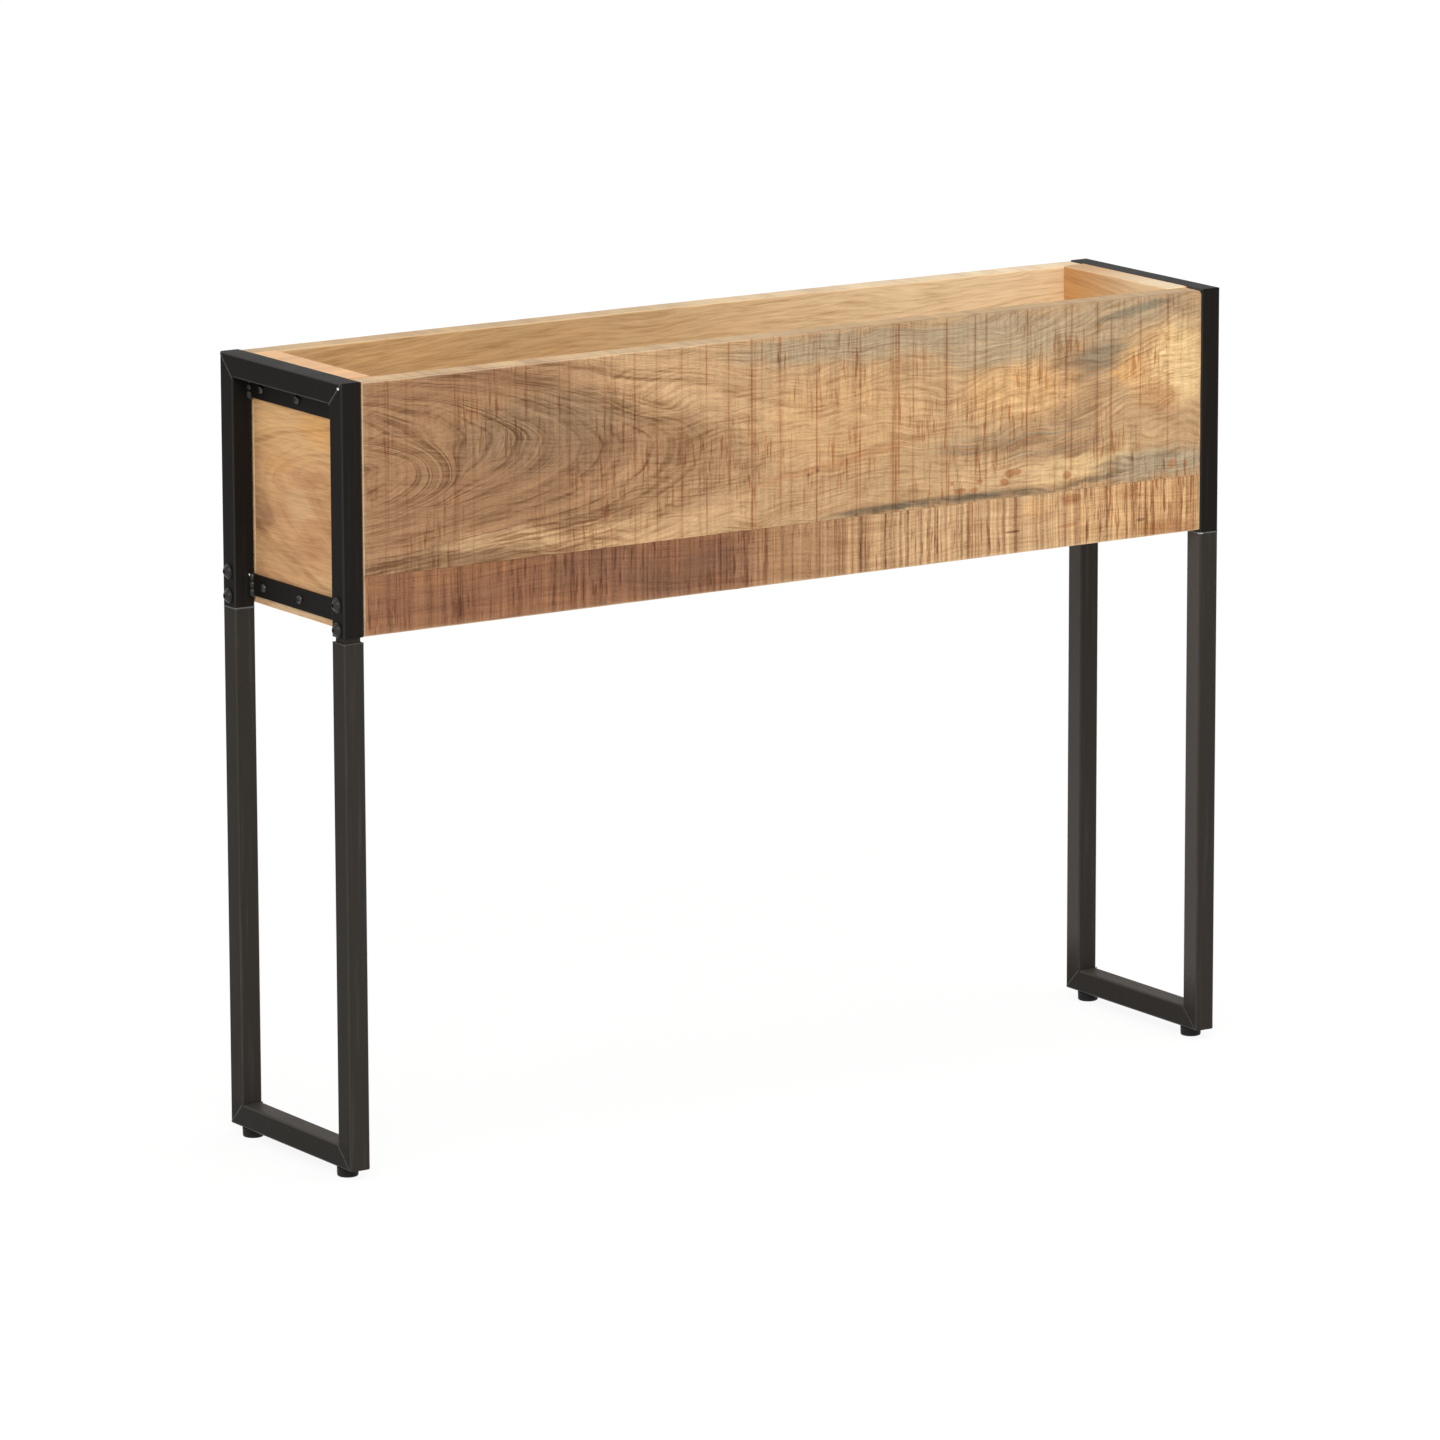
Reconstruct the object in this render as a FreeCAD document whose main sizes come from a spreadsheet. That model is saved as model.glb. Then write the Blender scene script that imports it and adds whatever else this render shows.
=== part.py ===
import FreeCAD, Part
import math
import os

import Sketcher
from FreeCAD import Placement, Rotation, Vector

# Floor planter: a dowelled timber trough hung between two welded steel end frames, which stand on
# plugged-in and bolted leg frames with four screw-in levelling feet.
# Origin on the floor under the middle of the planter, X along the length, front face towards -Y, Z up.
# All sizes are millimetres.

SIZES = (
    ("length", 900, "over the outer faces of the end frames"),
    ("depth", 200, "over the front and back faces"),
    ("height", 680, "floor to rim with the feet screwed right in"),
    ("tube_width", 20, "outside width of the square tube"),
    ("tube_wall", 2, "wall of the square tube"),
    ("tube_round", 2.2, "outside corner radius of the square tube"),
    ("box_height", 215, "height of the timber trough"),
    ("board_thickness", 22, "thickness of every wall board"),
    ("board_ease", 2, "radius that eases the free edges of the boards"),
    ("lower_board_width", 50, "width of the lower board of a long wall"),
    ("bottom_thickness", 12, "thickness of the bottom panel"),
    ("bottom_lift", 8, "edge of the trough below the bottom panel"),
    ("groove_depth", 6, "depth of the groove that holds the bottom panel"),
    ("groove_clearance", 0.5, "play of the bottom panel in its groove"),
    ("dowel_diameter", 8, "wooden dowels of the trough"),
    ("dowel_length", 36, "wooden dowels of the trough"),
    ("dowel_seat", 12, "part of a corner dowel that sits in the long wall"),
    ("dowel_clearance", 0.1, "play round a dowel"),
    ("dowel_end_gap", 1, "glue room at each end of a dowel"),
    ("dowel_chamfer", 1, "chamfer on the ends of a dowel"),
    ("dowel_inset", 45, "corner dowels from the edges of the upper board"),
    ("edge_dowel_inset", 80, "outer edge dowels from the ends of a long board"),
    ("leg_drop", 3, "top of the leg frames below the trough"),
    ("seam_gap", 0.4, "slit between a post and its leg"),
    ("open_seam_gap", 3, "end of the left front post, which is cut short, above the legs"),
    ("open_leg_drop", 2, "top of the left front leg, which is cut short, below the other legs"),
    ("spigot_wall", 1.5, "wall of the inner tube that joins post and leg"),
    ("spigot_round", 1, "outside corner radius of the inner tube"),
    ("spigot_clearance", 0.3, "play between the inner tube and the tubes round it"),
    ("spigot_rise", 50, "reach of the inner tube above the top of the leg"),
    ("spigot_drop", 45, "reach of the inner tube below the top of the leg"),
    ("upper_bar_width", 18, "flat bar under the top rail"),
    ("lower_bar_width", 18, "flat bar near the bottom of the trough"),
    ("lower_bar_lift", 7, "lower bar above the bottom of the trough"),
    ("bar_thickness", 3, "flat bars"),
    ("screw_pitch", 60, "wood screws along a flat bar"),
    ("screw_diameter", 4, "shank of a wood screw"),
    ("screw_length", 16, "shank of a wood screw"),
    ("screw_head_diameter", 8, "pan head of a wood screw"),
    ("screw_head_height", 2.6, "pan head of a wood screw"),
    ("screw_clearance", 0.4, "play of a screw in its bar"),
    ("screw_tip_gap", 1, "room in the wood past the tip of a screw"),
    ("bolt_diameter", 6, "shank of a leg bolt"),
    ("bolt_head_diameter", 11, "domed head of a leg bolt"),
    ("bolt_head_height", 3.4, "domed head of a leg bolt"),
    ("bolt_lift", 6.5, "lower leg bolt above the bottom of the trough"),
    ("bolt_spacing", 21, "between the two bolts of a post"),
    ("bolt_clearance", 0.4, "play of a bolt in the tube walls"),
    ("bolt_tip", 1, "bolt end past its nut"),
    ("thread_clearance", 0.05, "radial room round a thread"),
    ("washer_diameter", 13, "washer of a leg bolt"),
    ("washer_thickness", 1.2, "washer of a leg bolt"),
    ("leg_nut_width", 10, "across the flats of the nut of a leg bolt"),
    ("leg_nut_height", 4.5, "nut of a leg bolt"),
    ("foot_height", 8.5, "floor to the leg frame"),
    ("foot_diameter", 18.6, "top of a foot"),
    ("foot_taper", 0.5, "foot radius lost from top to floor"),
    ("foot_round", 2, "rounding of the floor edge of a foot"),
    ("foot_gap", 0.3, "slit between a foot and the leg frame"),
    ("foot_inset", 21, "foot centre from the front or back face"),
    ("stud_diameter", 8, "threaded stud of a foot"),
    ("stud_seat", 5, "part of the stud that sits in the foot"),
    ("stud_rise", 15.5, "reach of the stud above the underside of the leg frame"),
    ("stud_clearance", 0.5, "radial room of the stud in the rail wall"),
    ("stud_fit", 0.03, "radial room of the stud in the foot"),
    ("foot_nut_width", 13, "across the flats of the nut in the bottom rail"),
    ("foot_nut_height", 6.5, "nut in the bottom rail"),
)
EDGE_DOWELS = 4
LEG_BOLTS = 2
HEX_SIDES = 6
HALF_TURN = 180
QUARTER_TURN = 90

doc = FreeCAD.newDocument("planter")
sheet = doc.addObject("Spreadsheet::Sheet", "sizes")
for row, (alias, value, meaning) in enumerate(SIZES, start=1):
    sheet.set(f"A{row}", alias)
    sheet.set(f"B{row}", str(value))
    sheet.set(f"C{row}", meaning)
    sheet.setAlias(f"B{row}", alias)
doc.recompute()


class Size:
    """A size as a number, kept together with the sheet expression that gives it."""

    def __init__(self, number, text):
        self.number = number
        self.text = text

    @classmethod
    def of(cls, value):
        return value if isinstance(value, Size) else cls(value, str(value))

    def joined(self, sign, other, number):
        return Size(number, f"({self.text} {sign} {Size.of(other).text})")

    def __add__(self, other):
        return self.joined("+", other, self.number + Size.of(other).number)

    def __sub__(self, other):
        return self.joined("-", other, self.number - Size.of(other).number)

    def __mul__(self, other):
        return self.joined("*", other, self.number * Size.of(other).number)

    def __truediv__(self, other):
        return self.joined("/", other, self.number / Size.of(other).number)


class Sizes:
    """The sheet's aliases as Size values."""

    def __getattr__(self, alias):
        return Size(float(sheet.get(alias)), f"sizes.{alias}")


size = Sizes()

# Places that several pieces share, in the left end's terms
end_x = size.length / -2
front_y = size.depth / -2
inner_x = end_x + size.tube_width
box_floor = size.height - size.box_height
leg_top = box_floor - size.leg_drop
board_run = size.length - size.tube_width * 2
panel_run = size.depth - size.board_thickness * 2
bar_run = size.depth - size.tube_width * 2
groove_height = size.bottom_thickness + size.groove_clearance
upper_board_width = size.box_height - size.lower_board_width
spigot_inset = size.tube_wall + size.spigot_clearance
spigot_width = size.tube_width - spigot_inset * 2
upper_bar_floor = size.height - size.tube_width - size.upper_bar_width
lower_bar_floor = box_floor + size.lower_bar_lift
screw_rows = [Size(step, str(step)) * size.screw_pitch for step in (-1, 0, 1)]
bolt_rows = [box_floor + size.bolt_lift + size.bolt_spacing * step for step in range(LEG_BOLTS)]
low_dowel = (size.bottom_lift + groove_height + size.lower_board_width) / 2
high_dowels = [size.lower_board_width + size.dowel_inset, size.box_height - size.dowel_inset]
edge_dowel_step = (board_run - size.edge_dowel_inset * 2) / (EDGE_DOWELS - 1)
edge_dowels = [size.edge_dowel_inset + edge_dowel_step * step for step in range(EDGE_DOWELS)]
foot_rows = [size.foot_inset, size.depth - size.foot_inset]

# The right end and the back wall are the left end and the front wall turned half round
ENDS = (("left", 0), ("right", HALF_TURN))
WALLS = (("front", 0), ("back", HALF_TURN))


def turned_spot(turn, x, y, z):
    """A place of the left end or front wall, carried round to the side with this turn."""
    sign = -1 if turn else 1
    return (x * sign, y * sign, z)


def new_body(label, spot=(0, 0, 0), turn=0):
    body = doc.addObject("PartDesign::Body", label)
    body.Placement = Placement(Vector(), Rotation(Vector(0, 0, 1), turn))
    for axis, value in zip("xyz", spot):
        body.setExpression(f"Placement.Base.{axis}", Size.of(value).text)
    return body


def new_sketch(body, role, lift=None):
    """A sketch on one of the body's own origin planes, lifted along the plane's normal."""
    sketch = body.newObject("Sketcher::SketchObject", f"{body.Name}_sketch")
    plane = next(feature for feature in body.Origin.OriginFeatures if feature.Role == role)
    sketch.AttachmentSupport = (plane, [""])
    sketch.MapMode = "FlatFace"
    if lift is not None:
        sketch.setExpression("AttachmentOffset.Base.z", lift.text)
    return sketch


def pin(sketch, geometry, point, spot):
    """Ties a sketch point to a place given as two sizes."""
    for kind, axis, value in (("DistanceX", -2, spot[0]), ("DistanceY", -1, spot[1])):
        if isinstance(value, Size):
            index = sketch.addConstraint(Sketcher.Constraint(kind, geometry, point, value.number))
            sketch.setExpression(f"Constraints[{index}]", value.text)
        else:
            sketch.addConstraint(Sketcher.Constraint("PointOnObject", geometry, point, axis))


def outline(sketch, corners):
    """A closed outline of straight lines through corners given as sizes, or 0 on an axis."""
    count = len(corners)
    angles = [2 * math.pi * step / count for step in range(count + 1)]
    points = [Vector(math.cos(angle), math.sin(angle), 0) for angle in angles]
    lines = [sketch.addGeometry(Part.LineSegment(*pair)) for pair in zip(points, points[1:])]
    for line, following in zip(lines, lines[1:] + lines[:1]):
        sketch.addConstraint(Sketcher.Constraint("Coincident", line, 2, following, 1))
    for line, corner in zip(lines, corners):
        pin(sketch, line, 1, corner)


def circle(sketch, spot, diameter):
    ring = sketch.addGeometry(Part.Circle(Vector(1, 1, 0), Vector(0, 0, 1), 1))
    pin(sketch, ring, 3, spot)
    index = sketch.addConstraint(Sketcher.Constraint("Diameter", ring, diameter.number))
    sketch.setExpression(f"Constraints[{index}]", diameter.text)


def pad(body, sketch, run):
    feature = body.newObject("PartDesign::Pad", f"{body.Name}_pad")
    feature.Profile = sketch
    feature.setExpression("Length", run.text)
    return feature


def cut(body, sketch, depth, along_normal=False):
    """A pocket, against the sketch's normal unless along_normal is set."""
    feature = body.newObject("PartDesign::Pocket", f"{body.Name}_cut")
    feature.Profile = sketch
    feature.Reversed = along_normal
    feature.setExpression("Length", depth.text)
    return feature


def drill(body, role, spots, diameter, depth, lift=None, along_normal=False):
    """Round holes of one size, drilled from one plane."""
    sketch = new_sketch(body, role, lift)
    for spot in spots:
        circle(sketch, spot, diameter)
    return cut(body, sketch, depth, along_normal)


def ease(body, base, radius, chosen):
    """Rounds those edges of the base feature for which chosen says yes."""
    doc.recompute()
    edges = [f"Edge{number}" for number, edge in enumerate(base.Shape.Edges, start=1) if chosen(edge)]
    feature = body.newObject("PartDesign::Fillet", f"{body.Name}_ease")
    feature.Base = (base, edges)
    feature.setExpression("Radius", radius.text)
    return feature


def runs_along(edge, axis):
    ends = [vertex.Point for vertex in edge.Vertexes]
    return len(ends) == 2 and (ends[1] - ends[0]).cross(axis).Length < Part.Precision.confusion()


def lies_at(edge, axis, place):
    gaps = [abs(vertex.Point.dot(axis) - place) for vertex in edge.Vertexes]
    return max(gaps) < Part.Precision.confusion()


X_AXIS = Vector(1, 0, 0)
Y_AXIS = Vector(0, 1, 0)
Z_AXIS = Vector(0, 0, 1)


# Timber trough
def make_board(label, run, width, spot, turn, grooved, free_edges, ends_show):
    """A wall board along its own X, outside face at y = 0, lower edge at z = 0."""
    body = new_body(label, spot, turn)
    thick = size.board_thickness
    section = [(0, 0), (thick, 0)]
    if grooved:
        web = thick - size.groove_depth
        roof = size.bottom_lift + groove_height
        section += [(thick, size.bottom_lift), (web, size.bottom_lift), (web, roof), (thick, roof)]
    section += [(thick, width), (0, width)]
    sketch = new_sketch(body, "YZ_Plane")
    outline(sketch, section)
    plank = pad(body, sketch, run)
    heights = [Size.of(place).number for place in free_edges]

    def shows(edge):
        on_free_edge = any(lies_at(edge, Z_AXIS, place) for place in heights)
        at_corner = runs_along(edge, Z_AXIS) and lies_at(edge, Y_AXIS, 0)
        return (on_free_edge and (ends_show or runs_along(edge, X_AXIS))) or (ends_show and at_corner)

    ease(body, plank, size.board_ease, shows)
    return body


dowel_bore = size.dowel_diameter + size.dowel_clearance * 2
edge_dowel_depth = size.dowel_length / 2 + size.dowel_end_gap
wall_dowel_depth = size.dowel_seat + size.dowel_end_gap
panel_dowel_depth = size.dowel_length - size.dowel_seat + size.dowel_end_gap
half_board = size.board_thickness / 2


def make_long_wall(side, turn):
    """Two boards, one above the other, dowelled along their shared edge and at the corners."""
    corner_spots = [half_board, board_run - half_board]
    edge_spots = [(place, half_board) for place in edge_dowels]
    inside = size.board_thickness * -1

    spot = turned_spot(turn, inner_x, front_y, box_floor)
    lower = make_board(f"{side}_lower_board", board_run, size.lower_board_width, spot, turn,
                       True, [0], True)
    drill(lower, "XY_Plane", edge_spots, dowel_bore, edge_dowel_depth, lift=size.lower_board_width)
    spots = [(place, low_dowel) for place in corner_spots]
    drill(lower, "XZ_Plane", spots, dowel_bore, wall_dowel_depth, lift=inside, along_normal=True)

    spot = turned_spot(turn, inner_x, front_y, box_floor + size.lower_board_width)
    upper = make_board(f"{side}_upper_board", board_run, upper_board_width, spot, turn,
                       False, [upper_board_width], True)
    drill(upper, "XY_Plane", edge_spots, dowel_bore, edge_dowel_depth, along_normal=True)
    spots = [(place, rise - size.lower_board_width) for place in corner_spots for rise in high_dowels]
    drill(upper, "XZ_Plane", spots, dowel_bore, wall_dowel_depth, lift=inside, along_normal=True)
    return [upper, lower]


def make_end_panel(end, turn):
    """The end wall between the long walls, dowelled to both and screwed to the flat bars."""
    spot = turned_spot(turn, inner_x, size.depth / 2 - size.board_thickness, box_floor)
    panel = make_board(f"{end}_end_panel", panel_run, size.box_height, spot, turn - QUARTER_TURN,
                       True, [0, size.box_height], False)
    spots = [(half_board, rise) for rise in [low_dowel] + high_dowels]
    drill(panel, "YZ_Plane", spots, dowel_bore, panel_dowel_depth, along_normal=True)
    drill(panel, "YZ_Plane", spots, dowel_bore, panel_dowel_depth, lift=panel_run)
    bar_heights = [size.lower_bar_lift + size.lower_bar_width / 2,
                   upper_bar_floor + size.upper_bar_width / 2 - box_floor]
    spots = [(panel_run / 2 + row, rise) for row in screw_rows for rise in bar_heights]
    pilot = size.screw_diameter + size.thread_clearance * 2
    depth = size.screw_length - size.bar_thickness + size.screw_tip_gap
    drill(panel, "XZ_Plane", spots, pilot, depth)
    return panel


def make_bottom():
    """The bottom panel, held in the groove of all four walls."""
    reach = size.groove_depth - size.groove_clearance
    run = board_run - size.board_thickness * 2 + reach * 2
    width = panel_run + reach * 2
    bottom = new_body("bottom_panel", (run / -2, width / -2, box_floor + size.bottom_lift))
    sketch = new_sketch(bottom, "XY_Plane")
    outline(sketch, [(0, 0), (run, 0), (run, width), (0, width)])
    pad(bottom, sketch, size.bottom_thickness)
    return bottom


# Steel tubes and bars
def make_tube(label, corners, width, wall, rounding, along, spot, turn):
    """A square tube: corners(inset) gives its side outline, drawn in by inset from its long sides."""
    body = new_body(label, spot, turn)
    side = new_sketch(body, "YZ_Plane")
    outline(side, corners(0))
    bar = pad(body, side, width)
    ease(body, bar, rounding, lambda edge: runs_along(edge, along))
    inside = new_sketch(body, "YZ_Plane", wall)
    outline(inside, corners(wall))
    cut(body, inside, width - wall * 2, along_normal=True)
    return body


def mirrored(corners, width):
    """The same outline with its near and far sides swapped."""
    return lambda inset: [(width - y, z) for y, z in corners(inset)]


def make_steel_tube(label, corners, along, spot, turn):
    return make_tube(label, corners, size.tube_width, size.tube_wall, size.tube_round, along, spot, turn)


def make_post(label, near, gap, turn):
    """An upper post, mitred at the top and bored for its leg bolts at the bottom."""
    width = size.tube_width
    floor = leg_top + gap
    run = size.height - floor

    def corners(inset):
        return [(inset, 0), (width - inset, 0), (width - inset, run - width + inset), (inset, run - inset)]

    y = front_y if near else front_y * -1 - width
    spot = turned_spot(turn, end_x, y, floor)
    post = make_steel_tube(label, corners if near else mirrored(corners, width), Z_AXIS, spot, turn)
    spots = [(width / 2, rise - floor) for rise in bolt_rows]
    bore = size.bolt_diameter + size.bolt_clearance * 2
    drill(post, "YZ_Plane", spots, bore, size.tube_wall, along_normal=True)
    return post


def make_leg(label, near, top, turn):
    """A leg, mitred at the bottom."""
    width = size.tube_width
    run = top - size.foot_height

    def corners(inset):
        return [(inset, inset), (width - inset, width - inset), (width - inset, run), (inset, run)]

    y = front_y if near else front_y * -1 - width
    spot = turned_spot(turn, end_x, y, size.foot_height)
    return make_steel_tube(label, corners if near else mirrored(corners, width), Z_AXIS, spot, turn)


def make_top_rail(label, turn):
    """The rail across the top of an end frame, mitred at both ends."""
    width = size.tube_width
    run = size.depth

    def corners(inset):
        return [(inset, width - inset), (run - inset, width - inset),
                (run - width + inset, inset), (width - inset, inset)]

    spot = turned_spot(turn, end_x, front_y, size.height - width)
    return make_steel_tube(label, corners, Y_AXIS, spot, turn)


def make_bottom_rail(label, turn):
    """The rail across the bottom of a leg frame, mitred at both ends and bored for its feet."""
    width = size.tube_width
    run = size.depth

    def corners(inset):
        return [(inset, inset), (run - inset, inset),
                (run - width + inset, width - inset), (width - inset, width - inset)]

    spot = turned_spot(turn, end_x, front_y, size.foot_height)
    rail = make_steel_tube(label, corners, Y_AXIS, spot, turn)
    bore = size.stud_diameter + size.stud_clearance * 2
    spots = [(width / 2, place) for place in foot_rows]
    drill(rail, "XY_Plane", spots, bore, size.tube_wall, along_normal=True)
    return rail


def make_spigot(label, near, turn):
    """The inner tube that plugs a post onto its leg, bored for the leg bolts."""
    width = spigot_width
    floor = leg_top - size.spigot_drop
    run = size.spigot_drop + size.spigot_rise

    def corners(inset):
        return [(inset, 0), (width - inset, 0), (width - inset, run), (inset, run)]

    y = front_y + spigot_inset if near else front_y * -1 - spigot_inset - width
    spot = turned_spot(turn, end_x + spigot_inset, y, floor)
    spigot = make_tube(label, corners, width, size.spigot_wall, size.spigot_round, Z_AXIS, spot, turn)
    spots = [(width / 2, rise - floor) for rise in bolt_rows]
    bore = size.bolt_diameter + size.bolt_clearance * 2
    drill(spigot, "YZ_Plane", spots, bore, size.spigot_wall, along_normal=True)
    return spigot


def make_flat_bar(label, width, floor, turn):
    """A flat bar between the posts, flat against the end panel, bored for its wood screws."""
    spot = turned_spot(turn, inner_x - size.bar_thickness, bar_run / -2, floor)
    bar = new_body(label, spot, turn)
    sketch = new_sketch(bar, "YZ_Plane")
    outline(sketch, [(0, 0), (bar_run, 0), (bar_run, width), (0, width)])
    pad(bar, sketch, size.bar_thickness)
    spots = [(bar_run / 2 + row, width / 2) for row in screw_rows]
    bore = size.screw_diameter + size.screw_clearance * 2
    drill(bar, "YZ_Plane", spots, bore, size.bar_thickness, along_normal=True)
    return bar


def make_end_frame(end, turn):
    """Every tube and bar of one end; its near side is the front on the left and the back on the right."""
    near, far = ("front", "back") if end == "left" else ("back", "front")
    near_gap = size.open_seam_gap if end == "left" else size.seam_gap
    near_top = leg_top - size.open_leg_drop if end == "left" else leg_top
    return [
        make_post(f"{end}_{near}_post", True, near_gap, turn),
        make_post(f"{end}_{far}_post", False, size.seam_gap, turn),
        make_top_rail(f"{end}_top_rail", turn),
        make_flat_bar(f"{end}_upper_bar", size.upper_bar_width, upper_bar_floor, turn),
        make_flat_bar(f"{end}_lower_bar", size.lower_bar_width, lower_bar_floor, turn),
        make_spigot(f"{end}_{near}_spigot", True, turn),
        make_spigot(f"{end}_{far}_spigot", False, turn),
        make_leg(f"{end}_{near}_leg", True, near_top, turn),
        make_leg(f"{end}_{far}_leg", False, leg_top, turn),
        make_bottom_rail(f"{end}_bottom_rail", turn),
    ]


# Levelling feet
def spin(body, section):
    """Turns a half section, drawn in X and Z, about the body's own Z axis."""
    sketch = new_sketch(body, "XZ_Plane")
    outline(sketch, section)
    feature = body.newObject("PartDesign::Revolution", f"{body.Name}_spin")
    feature.Profile = sketch
    feature.ReferenceAxis = (sketch, ["V_Axis"])
    return feature


def make_foot(label, x, y):
    """A round tapered pad on a threaded stud that screws up into the bottom rail."""
    top = size.foot_height - size.foot_gap
    radius = size.foot_diameter / 2
    socket = size.stud_diameter / 2 + size.stud_fit
    pad_body = new_body(f"{label}_pad", (x, y, 0))
    pad_spin = spin(pad_body, [(0, 0), (radius - size.foot_taper, 0), (radius, top), (socket, top),
                               (socket, top - size.stud_seat), (0, top - size.stud_seat)])
    ease(pad_body, pad_spin, size.foot_round, lambda edge: lies_at(edge, Z_AXIS, 0) and edge.Closed)
    stud = doc.addObject("Part::Cylinder", f"{label}_stud")
    stud.setExpression("Radius", (size.stud_diameter / 2).text)
    stud.setExpression("Height", (size.foot_gap + size.stud_seat + size.stud_rise).text)
    for axis, value in zip("xyz", (x, y, top - size.stud_seat)):
        stud.setExpression(f"Placement.Base.{axis}", value.text)
    return [pad_body, stud]


def make_feet():
    feet = []
    for end, turn in ENDS:
        sides = ("front", "back") if end == "left" else ("back", "front")
        for side, row in zip(sides, foot_rows):
            x, y, _ = turned_spot(turn, end_x + size.tube_width / 2, front_y + row, 0)
            feet += make_foot(f"{end}_{side}_foot", x, y)
    return feet


# Fasteners: one master of each, copied to all its places as one node
def make_headed(label, shank, reach, head, head_height):
    """A screw or bolt along Z: tip at z = 0, head on top with its edge rounded into a dome."""
    body = new_body(label)
    radius = shank / 2
    top = reach + head_height
    spun = spin(body, [(0, 0), (radius, 0), (radius, reach), (head / 2, reach), (head / 2, top), (0, top)])
    ease(body, spun, head_height / 2, lambda edge: edge.Closed and lies_at(edge, Z_AXIS, top.number))
    return body


def make_ring(label, bore, outside, thick):
    body = new_body(label)
    spin(body, [(bore / 2, 0), (outside / 2, 0), (outside / 2, thick), (bore / 2, thick)])
    return body


def make_nut(label, across, bore, height):
    """A plain six-sided nut on the floor of its own frame, flats facing its own X."""
    body = new_body(label)
    sketch = new_sketch(body, "XY_Plane")
    reach = across / math.sqrt(3)
    angles = [2 * math.pi * (step + 0.5) / HEX_SIDES for step in range(HEX_SIDES)]
    outline(sketch, [(reach * math.cos(angle), reach * math.sin(angle)) for angle in angles])
    circle(sketch, (0, 0), bore)
    pad(body, sketch, height)
    return body


def make_dowel():
    body = new_body("dowel_master")
    radius = size.dowel_diameter / 2
    chamfer = size.dowel_chamfer
    run = size.dowel_length
    spin(body, [(0, 0), (radius - chamfer, 0), (radius, chamfer), (radius, run - chamfer),
                (radius - chamfer, run), (0, run)])
    return body


def spread(label, master, places):
    """One node made of equal separate pieces, a copy of the master at each place."""
    doc.recompute()
    copies = []
    for place in places:
        copy = master.Shape.copy()
        copy.Placement = place
        copies.append(copy)
    group = doc.addObject("Part::Feature", label)
    group.Shape = Part.makeCompound(copies)
    return group


def aimed(spot, turn, axis, angle):
    """A place whose piece is first tipped about an axis, then carried round with its end or wall."""
    tip = Rotation(axis, angle)
    return Placement(Vector(*[Size.of(value).number for value in spot]), Rotation(Z_AXIS, turn) * tip)


def end_places(x, rows, heights):
    """Places on both ends with the piece's Z axis pointing outwards."""
    return [aimed(turned_spot(turn, x, row, rise), turn, Y_AXIS, -QUARTER_TURN)
            for _, turn in ENDS for row in rows for rise in heights]


def make_fasteners():
    bar_heights = [upper_bar_floor + size.upper_bar_width / 2, lower_bar_floor + size.lower_bar_width / 2]
    screw = make_headed("screw_master", size.screw_diameter, size.screw_length,
                        size.screw_head_diameter, size.screw_head_height)
    screw_tip = inner_x - size.bar_thickness + size.screw_length

    post_rows = [front_y + size.tube_width / 2, front_y * -1 - size.tube_width / 2]
    nut_top = end_x + spigot_inset + size.spigot_wall
    nut_floor = nut_top + size.leg_nut_height
    bolt_tip = nut_floor + size.bolt_tip
    bolt_reach = bolt_tip - end_x + size.washer_thickness
    bolt = make_headed("bolt_master", size.bolt_diameter, bolt_reach,
                       size.bolt_head_diameter, size.bolt_head_height)
    washer = make_ring("washer_master", size.bolt_diameter + size.bolt_clearance * 2,
                       size.washer_diameter, size.washer_thickness)
    thread = size.thread_clearance * 2
    leg_nut = make_nut("leg_nut_master", size.leg_nut_width, size.bolt_diameter + thread,
                       size.leg_nut_height)
    foot_nut = make_nut("foot_nut_master", size.foot_nut_width, size.stud_diameter + thread,
                        size.foot_nut_height)
    rail_x = end_x + size.tube_width / 2
    rail_floor = size.foot_height + size.tube_wall
    foot_places = [aimed(turned_spot(turn, rail_x, front_y + row, rail_floor), turn, Z_AXIS, 0)
                   for _, turn in ENDS for row in foot_rows]
    return [
        spread("bar_screws", screw, end_places(screw_tip, screw_rows, bar_heights)),
        spread("leg_bolts", bolt, end_places(bolt_tip, post_rows, bolt_rows)),
        spread("leg_washers", washer, end_places(end_x, post_rows, bolt_rows)),
        spread("leg_nuts", leg_nut, end_places(nut_floor, post_rows, bolt_rows)),
        spread("foot_nuts", foot_nut, foot_places),
    ]


def make_dowels():
    """Corner dowels lie along Y between the walls, edge dowels stand between the boards of a wall."""
    dowel = make_dowel()
    tip = front_y + size.board_thickness - size.dowel_seat
    corner_places = [aimed(turned_spot(turn, x, tip, box_floor + rise), turn, X_AXIS, -QUARTER_TURN)
                     for _, turn in WALLS
                     for x in (inner_x + half_board, inner_x * -1 - half_board)
                     for rise in [low_dowel] + high_dowels]
    foot = box_floor + size.lower_board_width - size.dowel_length / 2
    edge_places = [aimed(turned_spot(turn, inner_x + place, front_y + half_board, foot), turn, Z_AXIS, 0)
                   for _, turn in WALLS for place in edge_dowels]
    return [spread("corner_dowels", dowel, corner_places), spread("edge_dowels", dowel, edge_places)]


nodes = []
for wall, wall_turn in WALLS:
    nodes += make_long_wall(wall, wall_turn)
for frame_end, end_turn in ENDS:
    nodes.append(make_end_panel(frame_end, end_turn))
    nodes += make_end_frame(frame_end, end_turn)
nodes.append(make_bottom())
nodes += make_dowels()
nodes += make_feet()
nodes += make_fasteners()
doc.recompute()

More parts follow.
